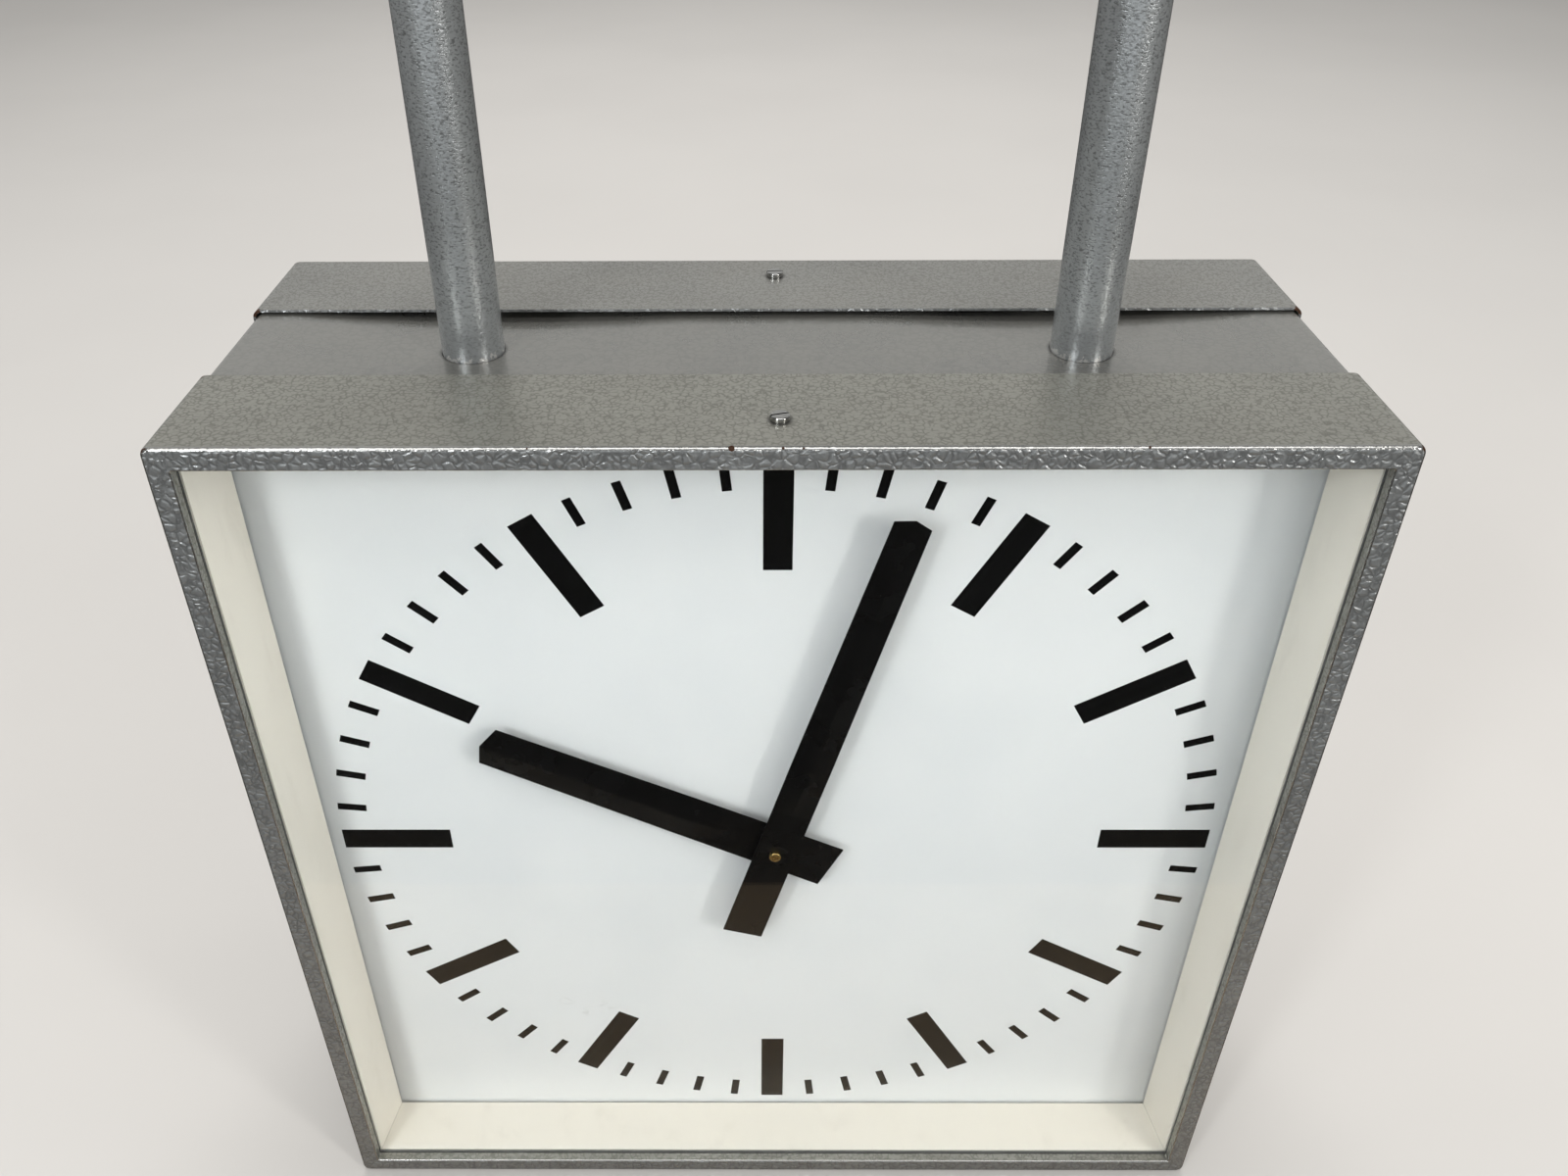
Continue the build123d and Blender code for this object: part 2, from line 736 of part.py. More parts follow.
def hand_nut():
    nut = rod(hand_nut_radius, minute_hand_face, minute_hand_face + hand_nut_height)
    nut = fillet(nut.edges().sort_by(Axis.Z)[-1], hand_nut_height * head_rounding)
    top = minute_hand_face + hand_nut_height
    half_slot = hand_nut_slot_width / 2
    nut -= block((-hand_nut_radius, -half_slot, top - hand_nut_slot_depth), (hand_nut_radius, half_slot, top))
    return nut - rod(hand_spigot_radius, minute_hand_face, minute_hand_face + spigot_length)


# ---- Nodes

save("case_shell", case_shell())
save("front_bezel", bezel())
save("rear_bezel", turned_back(bezel()))
save("front_glass", glass())
save("rear_glass", turned_back(glass()))
save("glass_gaskets", *on_both_sides(gasket()))
save("front_reveal", reveal())
save("rear_reveal", turned_back(reveal()))
save("front_dial", dial())
save("rear_dial", turned_back(dial()))
save("dial_rails", *on_both_sides(dial_rail(-rail_offset_z), dial_rail(rail_offset_z)))
save("dial_stud_nuts", *on_both_sides(*dial_stud_nuts()))
save("glass_clips", *on_both_sides(*glass_clips()))
save("bezel_screws", bezel_screw(front_slot_angle), turned_back(bezel_screw(rear_slot_angle)))
save("bezel_nut_plates", *on_both_sides(nut_plate()))

save("left_tube", tube(-tube_x))
save("right_tube", tube(tube_x))
save("ceiling_plate", ceiling_plate())
save("hanger_channel", hanger_channel())
save("tube_washers", *[tube_washer(x) for x in (-tube_x, tube_x)])
save("tube_locknuts", *[tube_locknut(x, order) for x in (-tube_x, tube_x) for order in (0, 1)])
save("cable_bush", cable_bush())
save("terminal_block", terminal_block())
save("terminal_screws", *terminal_screws())

fixed_movement = {
    "movement_dial_plates": [movement_dial_plate()],
    "movement_back_plates": [movement_back_plate()],
    "movement_pillars": pillars(),
    "pillar_screws": pillar_screws(),
    "dial_bushes": [dial_bush()],
    "dial_bush_nuts": [dial_bush_nut()],
    "motion_studs": [motion_stud()],
    "stator_cores": [stator_core()],
    "coil_bobbins": [coil_pieces()[0]],
    "coil_windings": [coil_pieces()[1]],
}
for node, pieces in fixed_movement.items():
    save(node, *[seat * piece for seat in seats.values() for piece in pieces])

centre_wheel = spoked_wheel(centre_wheel_teeth, train_module, centre_wheel_low, minute_arbor_radius, 90)
intermediate_wheel = spoked_wheel(intermediate_wheel_teeth, train_module, intermediate_wheel_low,
                                  arbor_radius, 90)
moving_pieces = {
    "minute_hand": minute_hand(),
    "hand_nut": hand_nut(),
    "minute_arbor": minute_arbor(),
    "centre_wheel": centre_wheel,
    "hour_hand": hour_hand(),
    "hour_pipe": hour_pipe(),
    "hour_wheel": spoked_wheel(hour_wheel_teeth, hour_module, hour_wheel_low, hour_pipe_radius,
                               180 + 180 / hour_wheel_teeth),
    "motion_wheel": motion_wheel(),
    "motion_pinion": motion_pinion(),
    "intermediate_wheel": Pos(0, intermediate_v, 0) * intermediate_wheel,
    "intermediate_arbor": pinion_arbor(intermediate_v, intermediate_pinion_teeth, centre_wheel_low),
    "rotor_arbor": pinion_arbor(rotor_v, rotor_pinion_teeth, intermediate_wheel_low),
    "rotor_magnet": rotor_magnet(),
}
for side, seat in seats.items():
    for name, piece in moving_pieces.items():
        save(f"{side}_{name}", seat * piece)
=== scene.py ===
import json
import math

import bmesh
import bpy
from mathutils import Matrix, Vector


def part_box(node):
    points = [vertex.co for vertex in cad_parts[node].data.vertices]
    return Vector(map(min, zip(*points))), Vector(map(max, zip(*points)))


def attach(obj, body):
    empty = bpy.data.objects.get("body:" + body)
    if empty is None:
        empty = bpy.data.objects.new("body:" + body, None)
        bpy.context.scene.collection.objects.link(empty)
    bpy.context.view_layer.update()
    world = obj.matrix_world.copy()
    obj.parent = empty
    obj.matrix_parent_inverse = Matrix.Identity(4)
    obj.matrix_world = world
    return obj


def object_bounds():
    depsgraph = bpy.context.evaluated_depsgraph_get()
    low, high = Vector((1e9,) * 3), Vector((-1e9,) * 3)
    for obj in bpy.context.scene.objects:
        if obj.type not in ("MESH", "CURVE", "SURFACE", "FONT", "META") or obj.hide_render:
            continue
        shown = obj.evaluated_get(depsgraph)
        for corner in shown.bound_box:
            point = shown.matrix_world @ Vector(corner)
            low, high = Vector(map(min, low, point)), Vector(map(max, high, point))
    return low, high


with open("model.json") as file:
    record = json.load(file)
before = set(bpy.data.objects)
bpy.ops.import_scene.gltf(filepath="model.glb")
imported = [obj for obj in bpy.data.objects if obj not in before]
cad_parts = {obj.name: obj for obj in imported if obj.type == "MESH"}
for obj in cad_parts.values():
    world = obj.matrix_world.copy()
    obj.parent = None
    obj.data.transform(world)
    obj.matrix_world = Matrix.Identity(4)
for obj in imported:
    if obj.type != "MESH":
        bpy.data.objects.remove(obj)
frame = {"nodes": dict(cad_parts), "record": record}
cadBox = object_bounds()
nodes = frame["nodes"]
print("frame loaded:", len(nodes), "nodes")

# Everything is in metres, in the clock's own frame: +X along the front face, +Y to the rear, +Z up.
mm = 0.001


def connect(tree, socket, value):
    # a socket is linked; anything else becomes the input's fixed value
    if isinstance(value, bpy.types.NodeSocket):
        tree.links.new(value, socket)
    elif socket.type == "RGBA":
        socket.default_value = (*value, 1.0)
    else:
        socket.default_value = value


def addNode(tree, kind, inputs=None, **settings):
    node = tree.nodes.new(kind)
    for name, value in settings.items():
        setattr(node, name, value)
    for name, value in (inputs or {}).items():
        connect(tree, node.inputs[name], value)
    return node


def maths(tree, operation, a, b=0.0):
    return addNode(tree, "ShaderNodeMath", {0: a, 1: b}, operation=operation).outputs[0]


def times(tree, a, b):
    return maths(tree, "MULTIPLY", a, b)


def plus(tree, a, b):
    return maths(tree, "ADD", a, b)


def minus(tree, a, b):
    return maths(tree, "SUBTRACT", a, b)


def absolute(tree, a):
    return maths(tree, "ABSOLUTE", a)


def vectorMaths(tree, operation, a, b=(0.0, 0.0, 0.0), output="Vector"):
    return addNode(tree, "ShaderNodeVectorMath", {0: a, 1: b}, operation=operation).outputs[output]


def ramp(tree, value, low, high, start=0.0, end=1.0):
    # a smooth step from start at low to end at high
    inputs = {"Value": value, "From Min": low, "From Max": high, "To Min": start, "To Max": end}
    return addNode(tree, "ShaderNodeMapRange", inputs, interpolation_type="SMOOTHSTEP").outputs["Result"]


def mixColours(tree, factor, first, second, mode="MIX"):
    node = addNode(tree, "ShaderNodeMix", data_type="RGBA", blend_type=mode)
    connect(tree, node.inputs[0], factor)
    connect(tree, node.inputs[6], first)
    connect(tree, node.inputs[7], second)
    return node.outputs[2]


def cover(tree, tone, mask, over, share=None):
    # lays a colour over the tone where the mask is, or a share of it
    if share is not None:
        mask = times(tree, mask, share)
    return mixColours(tree, mask, tone, over)


def noise(tree, vector, scale, detail=2.0, roughness=0.5):
    inputs = {"Vector": vector, "Scale": scale, "Detail": detail, "Roughness": roughness}
    return addNode(tree, "ShaderNodeTexNoise", inputs).outputs["Fac"]


def greyOf(tree, value):
    return addNode(tree, "ShaderNodeCombineXYZ", {0: value, 1: value, 2: value}).outputs[0]


def objectPoint(tree):
    return addNode(tree, "ShaderNodeTexCoord").outputs["Object"]


def surfaceNormal(tree):
    return addNode(tree, "ShaderNodeNewGeometry").outputs["Normal"]


def splitVector(tree, vector):
    parts = addNode(tree, "ShaderNodeSeparateXYZ", {0: vector})
    return parts.outputs[0], parts.outputs[1], parts.outputs[2]


def newGroup(name, inputs, outputs):
    tree = bpy.data.node_groups.new(name, "ShaderNodeTree")
    for socketName, default in inputs.items():
        kind = "NodeSocketFloat" if isinstance(default, float) else "NodeSocketVector"
        socket = tree.interface.new_socket(socketName, in_out="INPUT", socket_type=kind)
        if default is not None:
            socket.default_value = default
    for socketName in outputs:
        tree.interface.new_socket(socketName, in_out="OUTPUT", socket_type="NodeSocketFloat")
    return tree, tree.nodes.new("NodeGroupInput").outputs, tree.nodes.new("NodeGroupOutput").inputs


def useGroup(tree, name, inputs):
    node = addNode(tree, "ShaderNodeGroup", node_tree=bpy.data.node_groups[name])
    for socketName, value in inputs.items():
        connect(tree, node.inputs[socketName], value)
    return node.outputs


# Spans such as (0.32, 0.55) are where a mask starts and where it is full.
hammerRelief = {"inputs": {"Point": None, "Cell Size": 4.5 * mm, "Warp": 3.0 * mm},
                "bendScale": 0.45, "blobSpan": (0.0, 0.34), "blobShare": 0.8,
                "fineScale": 2.6, "fineShare": 0.35, "patchScale": 0.8, "patchSpan": (0.32, 0.55), "valleySpan": (0.02, 0.2),
                "flakeScale": 1500.0, "flakeSpan": (0.55, 0.8)}


def makeHammerRelief():
    # rounded blobs of paint, with narrow dark valleys that come and go between them
    look = hammerRelief
    tree, given, put = newGroup("hammerRelief", look["inputs"], ("Height", "Valleys", "Flakes"))
    point = given["Point"]
    perMetre = maths(tree, "DIVIDE", 1.0, given["Cell Size"])
    bendInputs = {"Vector": point, "Scale": times(tree, perMetre, look["bendScale"]), "Detail": 2.0}
    bend = addNode(tree, "ShaderNodeTexNoise", bendInputs).outputs["Color"]
    bend = vectorMaths(tree, "SUBTRACT", bend, (0.5, 0.5, 0.5))
    warp = addNode(tree, "ShaderNodeVectorMath", {0: bend, "Scale": given["Warp"]}, operation="SCALE")
    cellInputs = {"Vector": vectorMaths(tree, "ADD", point, warp.outputs[0]), "Scale": perMetre}
    gap = addNode(tree, "ShaderNodeTexVoronoi", cellInputs, feature="DISTANCE_TO_EDGE").outputs["Distance"]
    blob = times(tree, ramp(tree, gap, *look["blobSpan"]), look["blobShare"])
    fine = noise(tree, point, times(tree, perMetre, look["fineScale"]), 3.0)
    patches = noise(tree, point, times(tree, perMetre, look["patchScale"]), 2.0)
    comeAndGo = ramp(tree, patches, *look["patchSpan"])
    valleys = times(tree, ramp(tree, gap, *look["valleySpan"], 1.0, 0.0), comeAndGo)
    connect(tree, put["Height"], plus(tree, blob, times(tree, fine, look["fineShare"])))
    connect(tree, put["Valleys"], valleys)
    connect(tree, put["Flakes"], ramp(tree, noise(tree, point, look["flakeScale"], 2.0), *look["flakeSpan"]))


edgeWear = {"inputs": {"Point": None, "Reach": 1.5 * mm, "Patch Size": 20.0 * mm, "Amount": 0.5},
            "edgeSpan": (0.7, 0.995), "hardest": 0.85, "easier": 0.5, "softness": 0.04}


def makeEdgeWear():
    # rubbed or chipped edges, also brightened on plain metals as a painted highlight: the rounded normal differs from
    # the flat one near an edge
    look = edgeWear
    tree, given, put = newGroup("edgeWear", look["inputs"], ("Edge", "Chips"))
    rounded = addNode(tree, "ShaderNodeBevel", {"Radius": given["Reach"]}, samples=4).outputs["Normal"]
    same = vectorMaths(tree, "DOT_PRODUCT", rounded, surfaceNormal(tree), "Value")
    edge = ramp(tree, same, *look["edgeSpan"], 1.0, 0.0)
    patches = noise(tree, given["Point"], maths(tree, "DIVIDE", 1.0, given["Patch Size"]), 4.0, 0.7)
    start = minus(tree, look["hardest"], times(tree, given["Amount"], look["easier"]))
    full = plus(tree, start, look["softness"])
    connect(tree, put["Edge"], edge)
    connect(tree, put["Chips"], ramp(tree, times(tree, edge, patches), start, full))


cornerChips = {"inputs": {"Point": None, "Centre": None, "Half Size": None, "Reach": 12.0 * mm,
                          "Amount": 0.5},
               "raggedScale": 420.0, "chipSpan": (1.0, 1.05)}


def makeCornerChips():
    # bare rusty spots at the eight corners of a box, where a case gets knocked
    look = cornerChips
    tree, given, put = newGroup("cornerChips", look["inputs"], ("Chips",))
    inward = vectorMaths(tree, "SUBTRACT", given["Point"], given["Centre"])
    inward = vectorMaths(tree, "ABSOLUTE", inward)
    inward = vectorMaths(tree, "SUBTRACT", given["Half Size"], inward)
    near = ramp(tree, vectorMaths(tree, "LENGTH", inward, output="Value"), 0.0, given["Reach"], 1.0, 0.0)
    ragged = noise(tree, given["Point"], look["raggedScale"], 4.0, 0.65)
    total = plus(tree, near, times(tree, ragged, given["Amount"]))
    connect(tree, put["Chips"], ramp(tree, total, *look["chipSpan"]))


settledDust = {"inputs": {"Point": None, "Amount": 0.3, "Patch Size": 50.0 * mm},
               "upwardSpan": (0.35, 1.0), "patchSpan": (0.35, 0.75)}


def makeSettledDust():
    # fine dust on what faces up, in soft patches
    look = settledDust
    tree, given, put = newGroup("settledDust", look["inputs"], ("Dust",))
    upward = ramp(tree, splitVector(tree, surfaceNormal(tree))[2], *look["upwardSpan"])
    patches = noise(tree, given["Point"], maths(tree, "DIVIDE", 1.0, given["Patch Size"]), 5.0, 0.6)
    patches = ramp(tree, patches, *look["patchSpan"])
    connect(tree, put["Dust"], times(tree, times(tree, upward, patches), given["Amount"]))


smudges = {"inputs": {"Point": None, "Size": 60.0 * mm}, "softSpan": (0.35, 0.7),
           "wipedStretch": (1.0, 1.0, 0.22), "wipedScale": 3.0, "wipedSpan": (0.5, 0.72)}


def makeSmudges():
    # large soft marks left by hands and cloths; they change the gloss more than the colour
    look = smudges
    tree, given, put = newGroup("smudges", look["inputs"], ("Soft", "Wiped"))
    perMetre = maths(tree, "DIVIDE", 1.0, given["Size"])
    soft = noise(tree, given["Point"], perMetre, 3.0, 0.55)
    stretched = vectorMaths(tree, "MULTIPLY", given["Point"], look["wipedStretch"])
    wiped = noise(tree, stretched, times(tree, perMetre, look["wipedScale"]), 5.0, 0.7)
    connect(tree, put["Soft"], ramp(tree, soft, *look["softSpan"]))
    connect(tree, put["Wiped"], ramp(tree, wiped, *look["wipedSpan"]))


brushedGrain = {"inputs": {"Point": None, "Stretch": (1.0, 1.0, 0.03), "Line Width": 0.6 * mm},
                "deepScale": 0.35, "scratchSpan": (0.66, 0.72)}


def makeBrushedGrain():
    # fine parallel lines left by a brush or a lathe tool; Stretch is small along the lines
    look = brushedGrain
    tree, given, put = newGroup("brushedGrain", look["inputs"], ("Grain", "Scratches"))
    flat = vectorMaths(tree, "MULTIPLY", given["Point"], given["Stretch"])
    perMetre = maths(tree, "DIVIDE", 1.0, given["Line Width"])
    deep = noise(tree, flat, times(tree, perMetre, look["deepScale"]), 1.0)
    connect(tree, put["Grain"], noise(tree, flat, perMetre, 4.0, 0.6))
    connect(tree, put["Scratches"], ramp(tree, deep, *look["scratchSpan"]))


specks = {"inputs": {"Point": None, "Spacing": 20.0 * mm, "Dot Size": 0.5 * mm, "Share": 0.3}}


def makeSpecks():
    # separate small dots, such as dust nibs in a finish
    tree, given, put = newGroup("specks", specks["inputs"], ("Specks",))
    perMetre = maths(tree, "DIVIDE", 1.0, given["Spacing"])
    cells = addNode(tree, "ShaderNodeTexVoronoi", {"Vector": given["Point"], "Scale": perMetre}, feature="F1")
    away = times(tree, cells.outputs["Distance"], given["Spacing"])
    dots = maths(tree, "LESS_THAN", away, given["Dot Size"])
    picked = maths(tree, "LESS_THAN", splitVector(tree, cells.outputs["Color"])[0], given["Share"])
    connect(tree, put["Specks"], times(tree, dots, picked))


effectMakers = (makeHammerRelief, makeEdgeWear, makeCornerChips, makeSettledDust, makeSmudges, makeBrushedGrain,
                makeSpecks)
for makeEffect in effectMakers:
    makeEffect()
print("shared effects ready")


def newMaterial(name, **fixed):
    # the fixed values go straight on the shader's own sockets
    material = bpy.data.materials.new(name)
    material.use_nodes = True
    tree = material.node_tree
    shader = tree.nodes["Principled BSDF"]
    for socketName, value in fixed.items():
        connect(tree, shader.inputs[socketName.replace("_", " ")], value)
    return material, tree, shader


def setSurface(tree, shader, tone, gloss, height, depth):
    connect(tree, shader.inputs["Base Color"], tone)
    connect(tree, shader.inputs["Roughness"], gloss)
    bump = addNode(tree, "ShaderNodeBump", {"Height": height, "Strength": 1.0, "Distance": depth})
    connect(tree, shader.inputs["Normal"], bump.outputs["Normal"])


def useHammer(tree, point, cell, warp):
    return useGroup(tree, "hammerRelief", {"Point": point, "Cell Size": cell, "Warp": warp})


def useWear(tree, point, reach, patch, amount):
    return useGroup(tree, "edgeWear", {"Point": point, "Reach": reach, "Patch Size": patch, "Amount": amount})


def useSmudges(tree, point, width):
    return useGroup(tree, "smudges", {"Point": point, "Size": width})


def useSpecks(tree, point, spacing, dot, share):
    inputs = {"Point": point, "Spacing": spacing, "Dot Size": dot, "Share": share}
    return useGroup(tree, "specks", inputs)["Specks"]


def useDust(tree, point, amount):
    return useGroup(tree, "settledDust", {"Point": point, "Amount": amount})["Dust"]


def boxMiddle(low, high):
    return tuple((a + b) / 2 for a, b in zip(low, high))


def boxHalf(low, high):
    return tuple((b - a) / 2 for a, b in zip(low, high))


def bareSpots(tree, point, finish, node):
    # chips at the corners of a node's box and along its edges
    low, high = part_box(node)
    inputs = {"Point": point, "Centre": boxMiddle(low, high), "Half Size": boxHalf(low, high),
              "Reach": finish["chipReach"], "Amount": finish["chipAmount"]}
    corners = useGroup(tree, "cornerChips", inputs)["Chips"]
    return maths(tree, "MAXIMUM", corners, useWear(tree, point, *finish["wear"])["Chips"])


bareRust = (0.085, 0.04, 0.022)
dustTone = (0.33, 0.315, 0.28)
chipRoughness = 0.8


# The skirts carry a fine net of marks; the face has larger curly ridges of a cooler silver.
frontBezelPaint = {"coat": 0.15, "coatGloss": 0.25, "metallic": 0.55, "faceSpan": (0.8, 0.98),
                   "skirt": (0.305, 0.302, 0.266), "skirtDark": (0.14, 0.139, 0.118), "skirtValleys": 0.64,
                   "skirtCell": 3.1 * mm, "skirtWarp": 0.9, "skirtRelief": 0.06 * mm,
                   "face": (0.325, 0.338, 0.34), "faceDark": (0.13, 0.134, 0.134), "faceValleys": 0.5,
                   "faceCell": 4.2 * mm, "faceWarp": 1.3, "faceRelief": 0.62 * mm,
                   "gloss": (0.28, 0.45), "dustRoughness": 0.35,
                   # the bend tone is a painted highlight on the rounded front edge
                   "bendFrom": (0.1, 0.3), "bendTo": (0.88, 0.98), "bendHighlightTone": (0.5, 0.5, 0.485),
                   "bendGloss": 0.2, "bendMetallic": 0.9,
                   "cloudScale": 14.0, "cloudSpan": (0.3, 0.7), "cloudShade": 0.9,
                   "flake": (0.5, 0.51, 0.5), "flakeShare": 0.3, "dust": 0.2,
                   # the dark tone round the screw foot is painted shade and dirt
                   "screwSetback": 28 * mm, "screwRadius": 5.0 * mm, "screwShadeEnd": 7.5 * mm,
                   "screwShadeAndGrime": (0.05, 0.048, 0.042), "screwShadeAndGrimeShare": 0.75,
                   "chipReach": 11 * mm, "chipAmount": 0.5, "chipDepth": 0.15 * mm,
                   "wear": (0.9 * mm, 9 * mm, 0.12),
                   "knockInset": 0.8 * mm, "raggedScale": 900.0, "ragged": 0.8 * mm,
                   # bare spots along the upper front edge: place across the face, reach
                   "knocks": [(-23.0 * mm, 1.9 * mm), (1.0 * mm, 1.1 * mm), (10.5 * mm, 1.0 * mm),
                              (-118.0 * mm, 0.9 * mm), (171.0 * mm, 1.1 * mm)]}
rearBezelPaint = dict(frontBezelPaint, skirt=(0.29, 0.288, 0.27), skirtValleys=0.36, skirtCell=2.5 * mm,
                      chipAmount=0.75, knocks=[])


def hammerPaint(name, finish, node):
    material, tree, shader = newMaterial(name, Coat_Weight=finish["coat"], Coat_Roughness=finish["coatGloss"])
    point = objectPoint(tree)
    low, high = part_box(node)
    sideways = absolute(tree, splitVector(tree, surfaceNormal(tree))[1])
    onFace = ramp(tree, sideways, *finish["faceSpan"])
    # the rounded front edge is smoother than the rest, and its colour is made brighter as a painted highlight
    pastSkirt = ramp(tree, sideways, *finish["bendFrom"])
    onBend = times(tree, pastSkirt, ramp(tree, sideways, *finish["bendTo"], 1.0, 0.0))
    metallic = ramp(tree, onBend, 0.0, 1.0, finish["metallic"], finish["bendMetallic"])
    connect(tree, shader.inputs["Metallic"], metallic)
    skirt = useHammer(tree, point, finish["skirtCell"], finish["skirtCell"] * finish["skirtWarp"])
    face = useHammer(tree, point, finish["faceCell"], finish["faceCell"] * finish["faceWarp"])
    chips = bareSpots(tree, point, finish, node)
    ragged = times(tree, noise(tree, point, finish["raggedScale"], 2.0), finish["ragged"])
    for across, reach in finish["knocks"]:
        place = (across, low.y + finish["knockInset"], high.z - finish["knockInset"])
        away = plus(tree, vectorMaths(tree, "DISTANCE", point, place, "Value"), ragged)
        chips = maths(tree, "MAXIMUM", chips, maths(tree, "LESS_THAN", away, reach))
    skirtTone = cover(tree, finish["skirt"], skirt["Valleys"], finish["skirtDark"], finish["skirtValleys"])
    faceTone = cover(tree, finish["face"], face["Valleys"], finish["faceDark"], finish["faceValleys"])
    tone = cover(tree, skirtTone, onFace, faceTone)
    # painted highlight: a brighter tone on the rounded front edge
    tone = cover(tree, tone, onBend, finish["bendHighlightTone"])
    cloud = noise(tree, point, finish["cloudScale"], 3.0)
    cloud = ramp(tree, cloud, *finish["cloudSpan"], 1.0, finish["cloudShade"])
    tone = mixColours(tree, 1.0, tone, greyOf(tree, cloud), "MULTIPLY")
    tone = cover(tree, tone, skirt["Flakes"], finish["flake"], finish["flakeShare"])
    dust = useDust(tree, point, finish["dust"])
    tone = cover(tree, tone, dust, dustTone)
    # painted shade and dirt round the foot of the screw: a darker ring on the paint
    screwY = low.y + finish["screwSetback"] if node == "front_bezel" else high.y - finish["screwSetback"]
    screwFoot = ((low.x + high.x) / 2, screwY, high.z)
    fromScrew = vectorMaths(tree, "DISTANCE", point, screwFoot, "Value")
    screwShadeAndGrime = ramp(tree, fromScrew, finish["screwRadius"], finish["screwShadeEnd"], finish["screwShadeAndGrimeShare"], 0.0)
    tone = cover(tree, tone, screwShadeAndGrime, finish["screwShadeAndGrime"])
    tone = cover(tree, tone, chips, bareRust)
    gloss = ramp(tree, skirt["Valleys"], 0.0, 1.0, *finish["gloss"])
    gloss = plus(tree, gloss, times(tree, dust, finish["dustRoughness"]))
    gloss = ramp(tree, onBend, 0.0, 1.0, gloss, finish["bendGloss"])
    gloss = maths(tree, "MAXIMUM", gloss, times(tree, chips, chipRoughness))
    skirtHeight = times(tree, skirt["Height"], finish["skirtRelief"])
    faceHeight = times(tree, face["Height"], finish["faceRelief"])
    height = ramp(tree, onFace, 0.0, 1.0, skirtHeight, faceHeight)
    height = minus(tree, height, times(tree, chips, finish["chipDepth"]))
    setSurface(tree, shader, tone, gloss, height, 1.0)
    return material


casePaintFinish = {"metallic": 0.45, "coat": 0.65, "coatGloss": 0.06,
                   "light": (0.215, 0.212, 0.196), "dark": (0.185, 0.185, 0.172),
                   "cellSize": 4.5 * mm, "warp": 3 * mm, "relief": 0.025 * mm,
                   "chipReach": 9 * mm, "chipAmount": 0.4, "wear": (0.8 * mm, 8 * mm, 0.25),
                   "specks": (24 * mm, 0.9 * mm, 0.3), "speck": (0.08, 0.08, 0.075), "speckShare": 0.6,
                   "flake": (0.4, 0.41, 0.4), "flakeShare": 0.2, "dust": 0.15,
                   "smudgeSize": 50 * mm, "gloss": (0.27, 0.30),
                   # the ring tone and its spans are painted shade round the feet of the tubes
                   "tubeX": 165.5 * mm, "tubeRadius": 17.1 * mm, "footShadeWidth": 2.2 * mm, "footShadeShare": 0.85,
                   "ring": (0.045, 0.044, 0.04), "footShadeAbove": 0.9}


def casePaint():
    finish = casePaintFinish
    material, tree, shader = newMaterial("casePaint", Metallic=finish["metallic"], Coat_Weight=finish["coat"],
                                         Coat_Roughness=finish["coatGloss"])
    point = objectPoint(tree)
    low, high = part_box("case_shell")
    relief = useHammer(tree, point, finish["cellSize"], finish["warp"])
    chips = bareSpots(tree, point, finish, "case_shell")
    tone = cover(tree, finish["light"], relief["Valleys"], finish["dark"])
    tone = cover(tree, tone, relief["Flakes"], finish["flake"], finish["flakeShare"])
    tone = cover(tree, tone, useDust(tree, point, finish["dust"]), dustTone)
    tone = cover(tree, tone, useSpecks(tree, point, *finish["specks"]), finish["speck"], finish["speckShare"])
    # painted shade: a dark ring on the case round the feet of the two tubes
    x, y, z = splitVector(tree, point)
    sideOff = minus(tree, absolute(tree, x), finish["tubeX"])
    fromTube = addNode(tree, "ShaderNodeCombineXYZ", {0: sideOff, 1: y}).outputs[0]
    fromTube = vectorMaths(tree, "LENGTH", fromTube, output="Value")
    footShadeEnd = finish["tubeRadius"] + finish["footShadeWidth"]
    ring = ramp(tree, fromTube, finish["tubeRadius"], footShadeEnd, finish["footShadeShare"], 0.0)
    footShadeLevel = low.z + finish["footShadeAbove"] * (high.z - low.z)
    ring = times(tree, ring, maths(tree, "GREATER_THAN", z, footShadeLevel))
    # painted shade where the tubes meet the case
    tone = cover(tree, tone, ring, finish["ring"])
    tone = cover(tree, tone, chips, bareRust)
    gloss = ramp(tree, useSmudges(tree, point, finish["smudgeSize"])["Soft"], 0.0, 1.0, *finish["gloss"])
    gloss = maths(tree, "MAXIMUM", gloss, times(tree, chips, chipRoughness))
    setSurface(tree, shader, tone, gloss, relief["Height"], finish["relief"])
    return material


tubePaintFinish = {"metallic": 0.6, "coat": 0.35, "coatGloss": 0.1,
                   "light": (0.42, 0.44, 0.447), "dark": (0.13, 0.134, 0.132), "darkShare": 0.75,
                   "fleckLength": 1.9 * mm, "fleckHeight": 0.9 * mm, "fleckSpan": (0.48, 0.64),
                   "fleckDepth": 0.6, "smoothBase": 50 * mm, "footFlecks": 0.5, "cellSize": 3.4 * mm, "warp": 2.6 * mm,
                   "glint": (0.6, 0.62, 0.62), "glintShare": 0.3, "wear": (0.8 * mm, 10 * mm, 0.2),
                   "flakeBelow": 3 * mm, "flakeReach": 5 * mm, "flakeShare": 0.32, "flakeScale": 330.0,
                   "flakeSpan": (0.80, 0.84), "flaked": (0.72, 0.72, 0.70),
                   "smudgeSize": 80 * mm, "gloss": (0.27, 0.38), "relief": 0.07 * mm}


